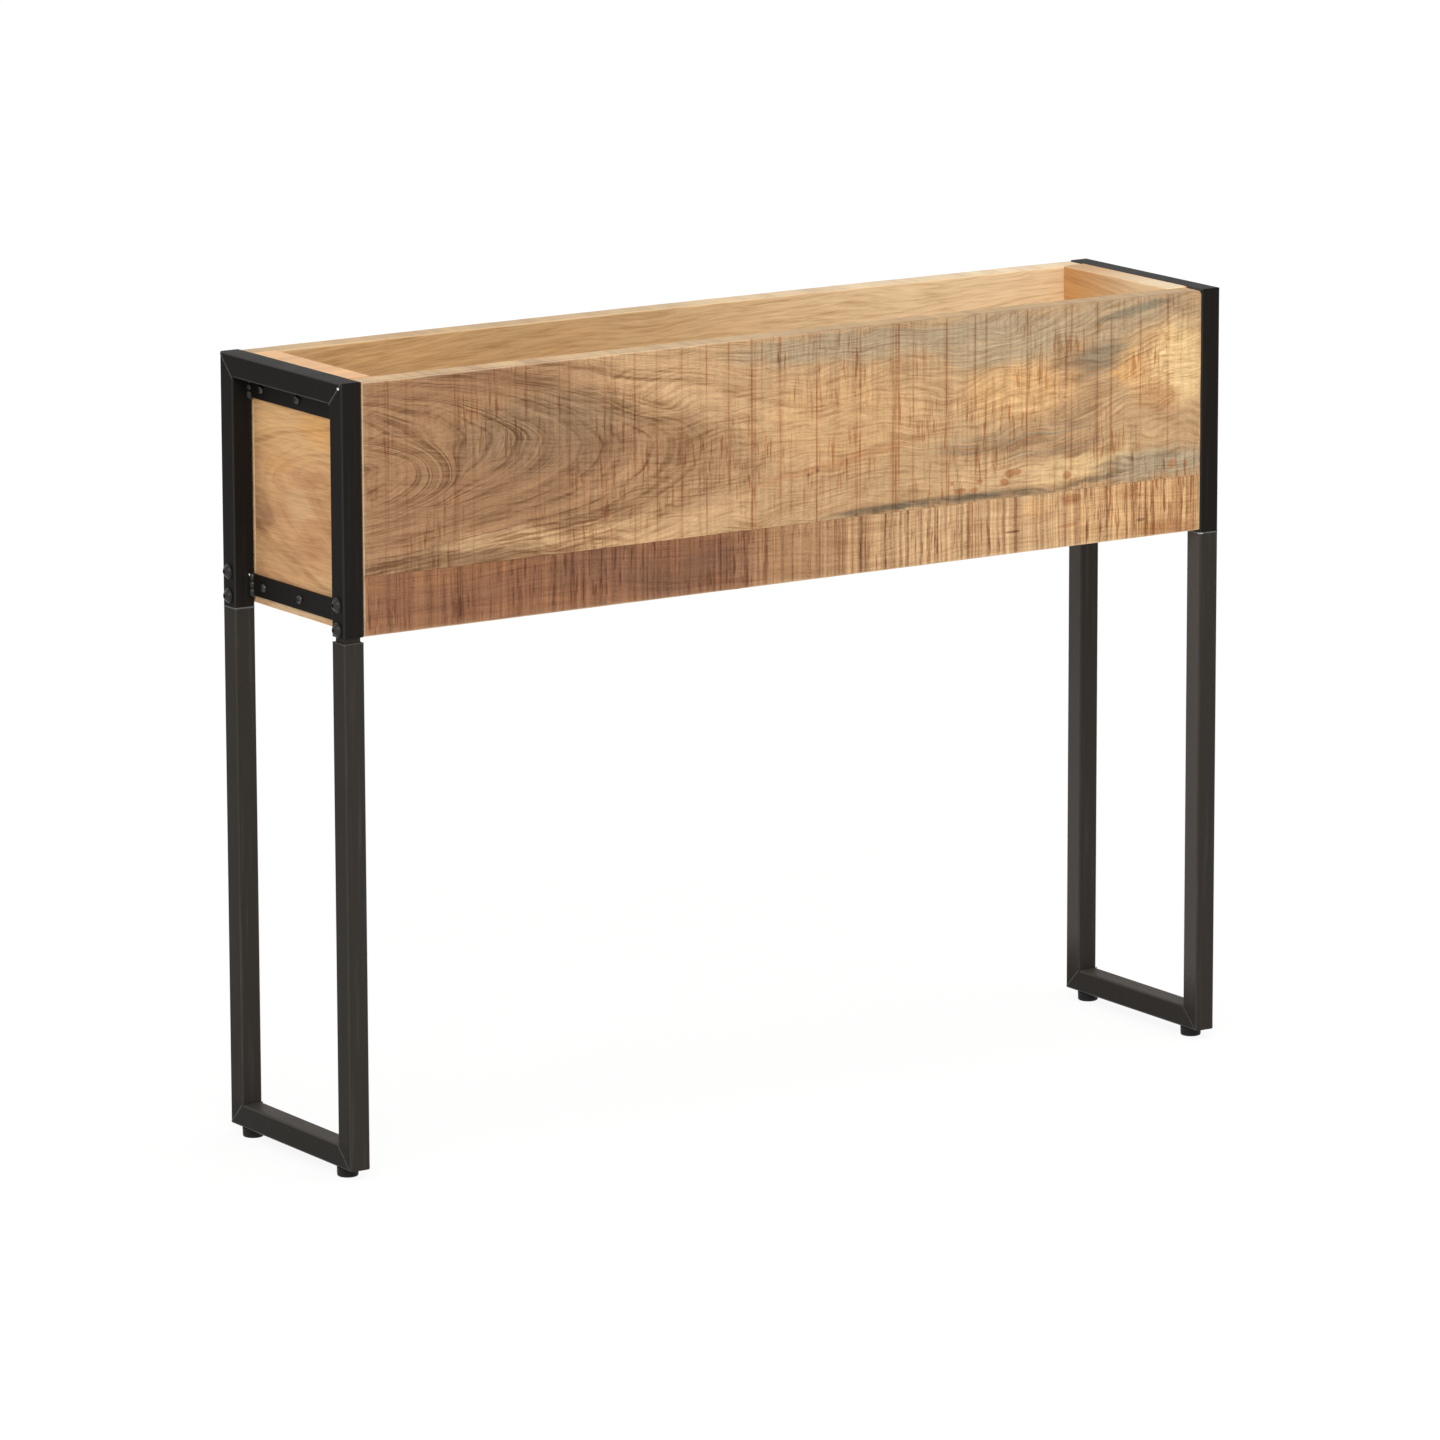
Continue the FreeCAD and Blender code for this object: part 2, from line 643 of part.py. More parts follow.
# Every feature must have built, every cut must have removed something, and every piece must be sound
for item in doc.Objects:
    if "Invalid" in item.State or "Error" in item.State:
        raise RuntimeError(f"{item.Name} did not build: {item.State}")
    if item.isDerivedFrom("PartDesign::Pocket") and item.Shape.Volume >= item.BaseFeature.Shape.Volume:
        raise RuntimeError(f"{item.Name} removes nothing")
for node in nodes:
    if node.Shape.isNull() or not node.Shape.isValid() or not node.Shape.Solids:
        raise RuntimeError(f"{node.Label} is not a sound solid")

os.makedirs("parts", exist_ok=True)
for node in nodes:
    node.Shape.exportStep(f"parts/{node.Label}.step")
print(len(nodes), "nodes written")
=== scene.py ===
"""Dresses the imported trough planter: sawn timber walls, coated steel frames, welds, fasteners and feet."""

import math
from dataclasses import dataclass

import bpy
import numpy as np
from bpy.props import FloatProperty, FloatVectorProperty, PointerProperty
from mathutils import Matrix, Vector


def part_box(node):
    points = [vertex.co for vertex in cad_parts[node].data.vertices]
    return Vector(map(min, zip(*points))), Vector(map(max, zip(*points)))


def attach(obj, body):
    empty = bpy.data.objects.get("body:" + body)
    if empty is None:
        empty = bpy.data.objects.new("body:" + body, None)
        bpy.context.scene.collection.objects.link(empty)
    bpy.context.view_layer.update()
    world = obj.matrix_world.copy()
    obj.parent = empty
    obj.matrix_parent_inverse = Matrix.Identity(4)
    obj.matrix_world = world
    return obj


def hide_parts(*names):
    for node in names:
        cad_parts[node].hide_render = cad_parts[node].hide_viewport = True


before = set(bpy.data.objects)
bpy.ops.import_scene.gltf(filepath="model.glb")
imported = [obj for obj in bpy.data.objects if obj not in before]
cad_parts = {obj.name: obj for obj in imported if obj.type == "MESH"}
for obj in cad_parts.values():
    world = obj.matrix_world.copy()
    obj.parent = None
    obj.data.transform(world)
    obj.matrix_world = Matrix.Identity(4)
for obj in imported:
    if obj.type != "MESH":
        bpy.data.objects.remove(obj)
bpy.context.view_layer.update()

bl_info = {
    "name": "Trough planter looks",
    "version": (1, 0, 0),
    "blender": (4, 5, 0),
    "location": "3D View > Sidebar > Planter",
    "description": "Builds the visible pieces of a timber trough planter on steel end frames",
    "category": "Object",
}

ROOT = "planter"
ENDS = ("left", "right")
OUTWARD = {"left": -1.0, "right": 1.0}
CORNERS = [f"{end}_{side}" for end in ENDS for side in ("front", "back")]
MM = 0.001
ON_FACE = 1e-6  # a point this near to a plane lies on it
TINY = 1e-9  # keeps a divisor above zero
LEAST_STEP = 0.00004  # grid lines nearer than this are one line
HEAD_SIDES, FOOT_SIDES = 40, 56
HEAD_CREASE, FOOT_CREASE = 32, 40  # degrees past which an edge stays sharp
EASE_MARGIN = 1.4  # grid margin along an edge, in radii of that edge
EDGE_STEPS = (0.0, 0.12, 0.3, 0.55, 0.8, 1.0)  # grid lines within a margin, as shares of it
LONG_PITCH, CROSS_PITCH = 4 * MM, 5 * MM  # grid steps along a board and across it
SAWN_SKIN = (3.0 * MM, 1.2 * MM)  # depth at which the sawn look ends, and where it is full
MARK_HALF, FINE_HALF = (0.55, 1.0), (0.35, 1.1)  # half widths in mm of saw grooves, seen and fine
FINE_STRENGTH, FINE_STEP = (0.1, 1), (0.35, 1.7)  # how far the fine grooves vary
WEAR_WAVES = (0.21, 0.083, 0.047)  # wave lengths along a worn edge
FADE_WAVES = (0.31, 0.12, 0.055)  # and up a saw groove
SWELL_WAVES = (0.062, 0.027, 0.15)  # and over a sawn face
FLOOR_HALF = 40.0
SENSOR_WIDTH = 36  # mm, the frame that the lens is given for
SIGHT_LIMIT = 100
LAMPS = (  # setting that holds the power, place, width
    ("key", (-2.3, -3.4, 3.2), 2.6),
    ("top", (0.4, -0.3, 3.4), 2.2),
    ("glint", (-3.0, -1.6, 2.6), 0.35),
)

# Tints multiply the timber's tone
UNTINTED = (1.0, 1.0, 1.0)
RING_TINTS = ((0.0, (0.48, 0.38, 0.30)), (0.34, (0.83, 0.78, 0.72)), (0.54, UNTINTED),
              (1.0, (1.30, 1.32, 1.34)))
SAW_TINTS = ((0.0, (0.46, 0.33, 0.24)), (0.5, UNTINTED), (1.0, (1.36, 1.37, 1.34)))
GROOVE_TINT = (0.60, 0.38, 0.25)
# Painted shade: faces that look up are tinted darker and cooler.
TOP_FACE_SHADE = (0.72, 0.74, 0.78)

# Metal and floor tones in linear light
# Pale bare steel on the legs' cut top edges: partly worn edge, partly painted highlight.
BARE_EDGE_GLINT = (0.62, 0.64, 0.66)
BARE_WELD = (0.9, 0.9, 0.9)
FLOOR_FLECK = (0.86, 0.86, 0.86)

# Turned profiles: radius and height of each point, as shares of a head's width or a pad's radius, and height
SCREW_DOME = ((0, -0.3), (0.5, -0.3), (0.5, 0.18), (0.485, 0.36), (0.44, 0.58), (0.36, 0.78), (0.24, 0.93),
              (0.12, 0.985), (0, 1))
CROSS_ARMS = ((0.56, 0.13), (0.13, 0.56))
BOLT_DOME = ((0, -0.2), (0.5, -0.2), (0.5, 0.04), (0.475, 0.2), (0.42, 0.44), (0.34, 0.67), (0.25, 0.85),
             (0.18, 0.96), (0.15, 1.0), (0, 1.0))
HEX_RADIUS, HEX_TOP = 0.17, 1.4
WASHER_RING = ((0.30, 0), (0.47, 0), (0.5, 0.3), (0.5, 0.75), (0.47, 1), (0.30, 1))
PAD_PROFILE = ((0, 0.06), (0.30, 0.06), (0.34, 0), (0.84, 0), (0.91, 0.03), (0.955, 0.08), (0.975, 0.16),
               (0.985, 0.45), (0.99, 0.68), (0.975, 0.70), (0.975, 0.73), (0.995, 0.76), (1, 0.86),
               (0.99, 0.96), (0.95, 1), (0.46, 1), (0.46, 0.45), (0, 0.45))


def srgb(red, green, blue):
    """A colour given as screen levels from 0 to 255, in linear light."""
    levels = [value / 255 for value in (red, green, blue)]
    return tuple(v / 12.92 if v <= 0.04045 else ((v + 0.055) / 1.055) ** 2.4 for v in levels)


def scaled(tone, factor):
    return tuple(factor * value for value in tone)


def colour(name, about, *levels):
    return FloatVectorProperty(name=name, description=about, default=srgb(*levels), subtype="COLOR",
                               size=3, min=0, max=1)


def length(name, about, value):
    return FloatProperty(name=name, description=about, default=value, min=0, unit="LENGTH", precision=5)


def share(name, about, value):
    return FloatProperty(name=name, description=about, default=value, min=0, max=1, subtype="FACTOR")


def angle(name, about, degrees):
    return FloatProperty(name=name, description=about, default=math.radians(degrees), subtype="ANGLE")


def power(name, about, watts):
    return FloatProperty(name=name, description=about, default=watts, min=0, unit="POWER")


class PlanterTimber(bpy.types.PropertyGroup):
    """Colours and edges of the timber walls."""

    honey: colour("Honey", "Ground colour of the upper sawn boards", 192, 156, 115)
    planed: colour("Planed", "Inside faces and rims", 203, 167, 118)
    # The rim tone also paints light on a strip along the bottom of the left end panel.
    rim: colour("Rim", "Freshly sanded eased edges", 227, 197, 159)
    # Painted light: inside faces are painted towards this tone where light falls on them.
    painted_inside_light: colour("Lit", "Palest inside faces, towards the right end", 250, 222, 178)
    brown: colour("Brown", "Heartwood on the left of the front", 141, 103, 72)
    olive: colour("Olive", "Grey brown heartwood", 136, 109, 81)
    umber: colour("Umber", "Purple brown heartwood", 125, 88, 66)
    rust: colour("Rust", "Rust brown patches", 172, 118, 74)
    russet: colour("Russet", "Ground colour of the lower boards", 139, 97, 69)
    pale: colour("Pale", "Light sapwood bands", 208, 172, 129)
    straw: colour("Straw", "Pale yellow sapwood", 233, 200, 147)
    amber: colour("Amber", "Warm bright sapwood", 220, 174, 119)
    orange: colour("Orange", "Saturated sapwood", 224, 164, 92)
    weathered: colour("Weathered", "Grey weathered streaks", 175, 155, 126)
    ash: colour("Ash", "Dark grey weathered streaks", 138, 126, 104)
    vein: colour("Vein", "Grey stain along the glue line", 112, 96, 76)
    end_tone: colour("End panel", "Ground colour of the end panels", 196, 146, 103)
    ease: length("Eased edge", "Radius of the sanded outer edges", 1.4 * MM)
    glue_line: length("Glue line", "Radius along the joint between two boards", 0.35 * MM)
    worn_corner: length("Worn corner", "Radius of the rounded top right corner", 4.5 * MM)
    groove: length("Saw groove", "Depth of the marks that the saw left", 0.22 * MM)
    bow: length("Bow", "Drop of a long board's rim at its ends", 0.8 * MM)


class PlanterSteel(bpy.types.PropertyGroup):
    """Coat of the steel, and the sizes of welds and fasteners."""

    frame_coat: colour("Frame coat", "Coat of the upper end frames", 30, 27, 24)
    leg_coat: colour("Leg coat", "Coat of the leg frames", 51, 47, 43)
    bare: colour("Plain steel", "Nuts and studs", 150, 147, 142)
    frame_sheen: share("Frame sheen", "Specular level of the upper frames", 0.03)
    leg_sheen: share("Leg sheen", "Specular level of the leg frames", 0.05)
    weld_width: length("Weld width", "Width of a dressed mitre weld", 1.7 * MM)
    weld_proud: length("Weld height", "Thickness of a dressed mitre weld", 0.24 * MM)
    tack_width: length("Tack width", "Width of the fillet welds at the bar ends", 10 * MM)
    leg_rim: length("Leg rim", "Thickness of the burr round the cut top of a leg", 0.8 * MM)
    bare_spot: length("Bare spot", "Width of a weld spot that the coat has left bare", 2.4 * MM)
    ripple: length("Weld ripple", "Step from one weld ripple to the next", 0.8 * MM)
    recess: length("Drive recess", "Depth of the drive recess in a head", 1.3 * MM)
    pitch: length("Stud pitch", "Thread pitch of the levelling studs", 1.25 * MM)
    rubber: colour("Foot", "Moulded foot pads", 27, 25, 24)


class PlanterStage(bpy.types.PropertyGroup):
    """Camera, light and floor."""

    azimuth: angle("Azimuth", "Camera to the left of square on", 33.204)
    elevation: angle("Elevation", "Camera above the horizon", 11.919)
    roll: angle("Roll", "Turn about the line of sight", -0.169)
    distance: length("Distance", "Camera to the point it looks at", 7.4898)
    aim: FloatVectorProperty(name="Aim", description="Point that the camera looks at", subtype="TRANSLATION",
                             default=(-0.01208, 0, 0.32786))
    lens: FloatProperty(name="Lens", description="Focal length on a 36 mm frame", default=215.44,
                        unit="CAMERA")
    ambient: FloatProperty(name="Ambient", description="Strength of the white surroundings", default=0.62,
                           min=0)
    key: power("Key light", "Power of the large lamp", 95)
    top: power("Top light", "Power of the overhead lamp", 40)
    glint: power("Glint light", "Power of the small hard lamp", 10)
    floor: colour("Floor", "Pale seamless floor", 244, 243, 241)
    clear: share("Floor brightness", "How far the floor is lifted to white in view", 0.88)


def operation(kind, swapped=False):
    """A method that adds a Math node of one kind to a wire's sheet."""
    def method(wire, *other):
        return wire.sheet.math(kind, *((*other, wire) if swapped else (wire, *other)))
    return method


class Wire:
    """A node's output; arithmetic on it adds Math nodes to its sheet."""

    def __init__(self, sheet, socket):
        self.sheet = sheet
        self.socket = socket

    __add__ = __radd__ = operation("ADD")
    __sub__ = operation("SUBTRACT")
    __rsub__ = operation("SUBTRACT", swapped=True)
    __mul__ = __rmul__ = operation("MULTIPLY")
    __truediv__ = operation("DIVIDE")
    __abs__ = operation("ABSOLUTE")


class Sheet:
    """A node tree written as Python calls."""

    def __init__(self, tree):
        self.tree = tree
        tree.nodes.clear()

    def node(self, kind, settings=None, sockets=None, output=0):
        """Adds a node: its settings first, then the values or wires of its sockets."""
        made = self.tree.nodes.new(kind)
        for name, value in (settings or {}).items():
            if name == "stops":
                self.set_stops(made.color_ramp.elements, value)
            else:
                setattr(made, name, value)
        for name, value in (sockets or {}).items():
            if isinstance(value, Wire):
                self.tree.links.new(value.socket, made.inputs[name])
            else:
                made.inputs[name].default_value = value
        return Wire(self, made.outputs[output])

    @staticmethod
    def set_stops(elements, stops):
        while len(elements) < len(stops):
            elements.new(1)
        for element, (place, tone) in zip(elements, stops):
            element.position = place
            element.color = (*tone, 1)

    def end(self, kind, wire, socket="Surface"):
        """Leads a wire to the tree's output node."""
        last = self.tree.nodes.new(kind)
        self.tree.links.new(wire.socket, last.inputs[socket])

    def math(self, operation, *values):
        return self.node("ShaderNodeMath", {"operation": operation}, dict(enumerate(values)))

    def largest(self, first, second, third):
        return self.math("MAXIMUM", first, self.math("MAXIMUM", second, third))

    def spot(self, x, y, z=0.0):
        return self.node("ShaderNodeCombineXYZ", None, {"X": x, "Y": y, "Z": z})

    def split(self, vector):
        """X, Y and Z of a vector."""
        parts = self.node("ShaderNodeSeparateXYZ", None, {0: vector}).socket.node
        return [Wire(self, socket) for socket in parts.outputs]

    def place(self):
        """X, Y and Z in the planter's frame."""
        return self.split(self.node("ShaderNodeTexCoord", output="Object"))

    def noise(self, x, y, detail=2.0, rough=0.5):
        return self.node("ShaderNodeTexNoise", {"noise_dimensions": "2D"},
                         {"Vector": self.spot(x, y), "Scale": 1.0, "Detail": detail, "Roughness": rough})

    def smooth(self, value, low, high, top=1.0, bottom=0.0):
        """The bottom value at low and before it, the top one at high and past it; low may be the greater."""
        return self.node("ShaderNodeMapRange", {"interpolation_type": "SMOOTHSTEP"},
                         {"Value": value, "From Min": low, "From Max": high, "To Min": bottom, "To Max": top})

    def blend(self, factor, first, second, mode="MIX"):
        tones = [tone if isinstance(tone, Wire) else (*tone, 1) for tone in (first, second)]
        return self.node("ShaderNodeMix", {"data_type": "RGBA", "blend_type": mode, "clamp_factor": True},
                         {0: factor, 6: tones[0], 7: tones[1]}, output=2)


class Finish(Sheet):
    """One procedural material: a Principled shader and the nodes that feed it."""

    def __init__(self, name, **constants):
        self.material = bpy.data.materials.new(name)
        self.material.use_nodes = True
        super().__init__(self.material.node_tree)
        surface = self.node("ShaderNodeBsdfPrincipled")
        self.shader = surface.socket.node
        self.end("ShaderNodeOutputMaterial", surface)
        for socket, value in constants.items():
            self.shader.inputs[socket.replace("_", " ")].default_value = value

    def feed(self, **wires):
        for socket, wire in wires.items():
            self.tree.links.new(wire.socket, self.shader.inputs[socket.replace("_", " ")])
        return self.material

    def facing(self):
        """X, Y and Z of the surface's direction."""
        return self.split(self.node("ShaderNodeNewGeometry", output="Normal"))

    def noise_along(self, value, detail=2.0, rough=0.5):
        return self.node("ShaderNodeTexNoise", {"noise_dimensions": "1D"},
                         {"W": value, "Scale": 1.0, "Detail": detail, "Roughness": rough})

    def noise_through(self, scale, detail=2.0):
        spot = self.node("ShaderNodeTexCoord", output="Object")
        return self.node("ShaderNodeTexNoise", {"noise_dimensions": "3D"},
                         {"Vector": spot, "Scale": scale, "Detail": detail})

    def oval(self, x, y, shape, rim=(1.7, 0.25)):
        """An oval's mask over two coordinates."""
        if shape.tilt:
            y = self.math("MULTIPLY_ADD", x, -shape.tilt, y)
        across = self.math("MULTIPLY_ADD", x, 1 / shape.reach, -shape.along / shape.reach)
        level = shape.rise - shape.along * shape.tilt
        up = self.math("MULTIPLY_ADD", y, 1 / shape.depth, -level / shape.depth)
        return self.smooth(self.math("MULTIPLY_ADD", across, across, up * up), *rim, shape.strength)

    def times(self, tone, tint, factor=1.0):
        return self.blend(factor, tone, tint, "MULTIPLY")

    def ramp(self, value, stops):
        return self.node("ShaderNodeValToRGB", {"stops": stops}, {"Fac": value})

    def attribute(self, name):
        return self.node("ShaderNodeAttribute", {"attribute_name": name}, output="Fac")

    def bump(self, height, strength, distance):
        return self.node("ShaderNodeBump", None,
                         {"Strength": strength, "Distance": distance, "Height": height})


# Timber


@dataclass
class Oval:
    """A soft-edged oval: its centre, half sizes, strength and slope."""

    along: float
    rise: float
    reach: float
    depth: float
    strength: float
    tilt: float = 0.0


@dataclass
class Patch:
    """An oval of another tone."""

    along: float
    rise: float
    reach: float
    depth: float
    tone: str
    strength: float
    tilt: float = 0.0


@dataclass
class Grain:
    """How one board is cut and marked. Places along a board are X or Y, heights are Z."""

    ground: str  # tone of the board
    along: int = 0  # axis of its length
    face: float = -0.1  # plane of its outer face
    seed: float = 0.0
    pith: float = 0.6  # height of the stem's middle
    pith_depth: float = 0.07  # distance of the cut from it
    taper: float = 0.1
    ring: float = 0.0075  # width of a growth ring
    ring_fade: tuple = (-9.0, 9.0)  # stretch over which the rings fade
    lean: float = 0.0
    bunch: tuple = (0.0, 1.0, 0.0)  # crowded rings: first, last, how many more
    nests: tuple = ()  # swirls, their strength in rings
    contrast: float = 1.0
    fibre: float = 1.3
    sawn: float = 1.0
    stripes: tuple = ()  # saw stripes: pitch, strength on the left and on the right
    patches: tuple = ()
    blots: tuple = ()
    marks: tuple = ()  # saw grooves: place and strength
    fine_marks: tuple = (0.03, 0.4)  # closer grooves: mean step and strength
    stain: tuple = ()  # streak at the glue line: height, middle, sag, half length
    wisps: tuple = ()
    climb: tuple = ()  # rise of the fibres: stretch along the board, height, stretch up it
    painted_light_span: tuple = ()  # stretch over which the inside is painted paler, as painted light
    dull_edge: tuple = (8.0, 9.0)  # stretch over which the rim turns grey


FRONT_UPPER = Grain(
    ground="honey", seed=2.7, pith=0.5875, ring_fade=(-0.24, 0.03), contrast=1.45,
    lean=-0.095, bunch=(5.3, 6.35, 2.8), nests=(Oval(-0.438, 0.590, 0.108, 0.046, 3.2),),
    patches=(
        Patch(-0.375, 0.600, 0.200, 0.115, "brown", 0.80),
        Patch(-0.360, 0.668, 0.140, 0.014, "brown", 0.45),
        Patch(-0.250, 0.616, 0.085, 0.034, "olive", 0.80),
        Patch(-0.140, 0.603, 0.062, 0.020, "brown", 0.40),
        Patch(-0.200, 0.575, 0.170, 0.040, "brown", 0.42),
        Patch(-0.170, 0.5290, 0.170, 0.009, "honey", 0.70),
        Patch(0.050, 0.600, 0.090, 0.040, "amber", 0.35),
        Patch(-0.345, 0.5235, 0.080, 0.009, "olive", 0.30),
        Patch(-0.295, 0.5330, 0.055, 0.007, "pale", 0.50),
        Patch(0.060, 0.6640, 0.120, 0.014, "weathered", 0.75),
        Patch(0.215, 0.6560, 0.080, 0.025, "weathered", 0.85),
        Patch(0.345, 0.6620, 0.090, 0.020, "weathered", 0.65),
        Patch(0.355, 0.6675, 0.042, 0.0045, "ash", 0.85, 0.17),
        Patch(0.3300, 0.632, 0.034, 0.0110, "ash", 0.80, 0.10),
        Patch(0.288, 0.624, 0.022, 0.012, "brown", 0.50),
        Patch(0.235, 0.607, 0.065, 0.024, "amber", 0.70),
        Patch(0.358, 0.621, 0.017, 0.013, "orange", 0.75, 0.3),
        Patch(0.390, 0.618, 0.050, 0.036, "amber", 0.75),
        Patch(0.410, 0.620, 0.027, 0.036, "straw", 0.90),
        Patch(0.382, 0.586, 0.022, 0.015, "rust", 0.45),
        Patch(0.288, 0.580, 0.022, 0.014, "umber", 0.32),
        Patch(0.050, 0.566, 0.100, 0.0045, "rust", 0.45, 0.15),
        Patch(0.215, 0.562, 0.060, 0.0060, "brown", 0.55),
        Patch(0.292, 0.552, 0.026, 0.0050, "umber", 0.45),
        Patch(0.300, 0.534, 0.060, 0.0110, "straw", 0.65),
        Patch(0.205, 0.535, 0.075, 0.0110, "pale", 0.60),
        Patch(0.380, 0.529, 0.065, 0.0125, "weathered", 1.0),
        Patch(0.312, 0.5215, 0.035, 0.0024, "vein", 0.60, 0.09),
        Patch(0.394, 0.622, 0.0030, 0.045, "rust", 0.40),
        Patch(0.310, 0.606, 0.0110, 0.050, "umber", 0.22),
        Patch(0.283, 0.610, 0.0030, 0.040, "umber", 0.30),
    ),
    blots=(
        Patch(0.163, 0.5335, 0.0022, 0.0018, "rust", 0.9), Patch(0.171, 0.5260, 0.0062, 0.0022, "rust", 0.8),
        Patch(0.187, 0.5260, 0.0048, 0.0022, "rust", 0.8), Patch(0.193, 0.5330, 0.0032, 0.0024, "rust", 0.8),
        Patch(0.218, 0.5290, 0.0048, 0.0034, "rust", 0.9), Patch(0.224, 0.5360, 0.0050, 0.0036, "rust", 0.9),
        Patch(0.232, 0.5365, 0.0042, 0.0026, "rust", 0.8), Patch(0.285, 0.5290, 0.0042, 0.0042, "rust", 0.8),
        Patch(0.399, 0.5280, 0.0048, 0.0042, "rust", 0.7), Patch(0.413, 0.5260, 0.0026, 0.0030, "rust", 0.6),
        Patch(0.014, 0.5565, 0.0020, 0.0018, "umber", 0.7),
        Patch(0.0236, 0.560, 0.0022, 0.0018, "umber", 0.7),
    ),
    marks=((-0.405, 0.6), (-0.3875, 0.5), (-0.340, 0.6), (-0.3225, 0.4), (-0.2575, 0.4), (-0.2275, 0.7),
           (-0.1925, 0.6), (-0.1855, 0.4), (-0.1625, 0.8), (-0.140, 0.7), (-0.115, 0.8), (-0.090, 0.8),
           (-0.0675, 0.8), (-0.044, 1.0), (-0.0405, 0.5), (-0.015, 0.9), (0.0225, 1.0), (0.064, 0.9),
           (0.0675, 0.7), (0.1015, 1.0), (0.1045, 1.0), (0.1075, 1.0), (0.1225, 0.8), (0.1575, 1.0),
           (0.1875, 0.8), (0.199, 0.7), (0.2425, 1.0), (0.2725, 0.7), (0.284, 0.8), (0.290, 0.9),
           (0.3175, 0.95), (0.3325, 0.9), (0.364, 0.7), (0.394, 0.6)),
    stain=(0.5206, 0.15, 0.254, 0.14),
    wisps=(
        Patch(0.260, 0.6000, 0.180, 0.080, "straw", 0.22),
        Patch(0.225, 0.5620, 0.085, 0.015, "ash", 0.75),
        Patch(0.330, 0.6320, 0.050, 0.016, "ash", 0.70, 0.10),
        Patch(0.060, 0.6660, 0.150, 0.010, "ash", 0.50),
        Patch(0.370, 0.5320, 0.060, 0.010, "ash", 0.50),
    ),
    climb=(0.14, 0.42, 0.038, 0.525, 0.645),
    dull_edge=(-0.08, 0.04),
)
FRONT_LOWER = Grain(
    ground="russet", seed=9.3, pith=0.44, pith_depth=0.02, taper=0.02, contrast=0.6, fibre=0.8,
    stripes=(0.0042, 1.2, 1.35),
    patches=(
        Patch(-0.095, 0.488, 0.070, 0.030, "umber", 0.85),
        Patch(-0.190, 0.498, 0.060, 0.016, "umber", 0.5),
        Patch(0.030, 0.492, 0.080, 0.060, "honey", 0.50),
        Patch(0.280, 0.492, 0.230, 0.090, "honey", 0.95),
        Patch(0.230, 0.492, 0.130, 0.050, "pale", 0.62),
        Patch(0.380, 0.496, 0.090, 0.040, "amber", 0.50),
        Patch(0.255, 0.503, 0.014, 0.010, "amber", 0.5),
        Patch(0.286, 0.506, 0.012, 0.006, "rust", 0.7),
        Patch(0.352, 0.505, 0.014, 0.007, "rust", 0.6),
        Patch(0.398, 0.472, 0.030, 0.008, "rust", 0.7),
    ),
    blots=(Patch(0.2275, 0.4845, 0.008, 0.0009, "umber", 0.8),
           Patch(0.365, 0.4810, 0.005, 0.0014, "umber", 0.7),
           Patch(0.288, 0.4840, 0.010, 0.0020, "rust", 0.6)),
    fine_marks=(0.0062, 0.9),
)
BACK_UPPER = Grain(
    ground="honey", face=0.1, seed=31.0, pith=0.585, pith_depth=0.085, taper=-0.08,
    patches=(
        Patch(0.300, 0.590, 0.160, 0.060, "brown", 0.6),
        Patch(-0.180, 0.645, 0.170, 0.022, "weathered", 0.7),
        Patch(-0.360, 0.560, 0.080, 0.045, "amber", 0.7),
        Patch(0.060, 0.530, 0.180, 0.014, "pale", 0.7),
    ),
    fine_marks=(0.024, 0.7),
    painted_light_span=(-0.20, 0.36),
)
BACK_LOWER = Grain(
    ground="russet", face=0.1, seed=44.0, pith=0.44, pith_depth=0.02, taper=-0.02, contrast=0.6, fibre=0.8,
    stripes=(0.0042, 0.7, 1.0),
    patches=(
        Patch(0.150, 0.490, 0.120, 0.030, "umber", 0.6),
        Patch(-0.280, 0.492, 0.200, 0.050, "honey", 0.7),
    ),
    fine_marks=(0.0062, 0.9),
)
LEFT_END = Grain(
    ground="end_tone", along=1, face=-0.43, seed=63.0, pith=0.585, pith_depth=0.05, taper=0.12, sawn=0.0,
    contrast=0.85, fibre=0.8, ring=0.012,
    patches=(
        Patch(0.000, 0.632, 0.120, 0.034, "amber", 0.75),
        Patch(-0.034, 0.630, 0.036, 0.016, "orange", 0.55),
        Patch(-0.026, 0.587, 0.018, 0.008, "rust", 0.80),
        Patch(0.005, 0.560, 0.022, 0.014, "pale", 0.50),
        Patch(0.040, 0.590, 0.024, 0.010, "orange", 0.35),
        Patch(-0.072, 0.530, 0.014, 0.030, "orange", 0.65),
        # Painted shade: a darker brown strip low down beside the back post.
        Patch(0.068, 0.535, 0.014, 0.040, "brown", 0.60),
        Patch(0.030, 0.510, 0.030, 0.014, "brown", 0.40),
        Patch(-0.030, 0.530, 0.040, 0.020, "rust", 0.40),
        Patch(-0.060, 0.496, 0.040, 0.012, "pale", 0.70),
        # Painted light: a pale strip in the rim tone along the bottom of the end panel.
        Patch(0.010, 0.476, 0.110, 0.010, "rim", 0.90),
    ),
    nests=(Oval(-0.012, 0.588, 0.078, 0.021, 1.7, -0.20),),
)
RIGHT_END = Grain(
    ground="end_tone", along=1, face=0.43, seed=81.0, pith=0.56, pith_depth=0.06, taper=-0.1, sawn=0.0,
    contrast=0.6, fibre=0.5, ring=0.012,
    patches=(
        Patch(0.010, 0.640, 0.100, 0.024, "amber", 0.5),
        Patch(-0.020, 0.540, 0.060, 0.012, "brown", 0.3),
        Patch(0.060, 0.655, 0.060, 0.050, "orange", 0.5),
    ),
    painted_light_span=(0.065, -0.06),
)
FLOOR = Grain(ground="planed", seed=97.0, pith=0.3, sawn=0.0, contrast=0.4, fibre=0.6)


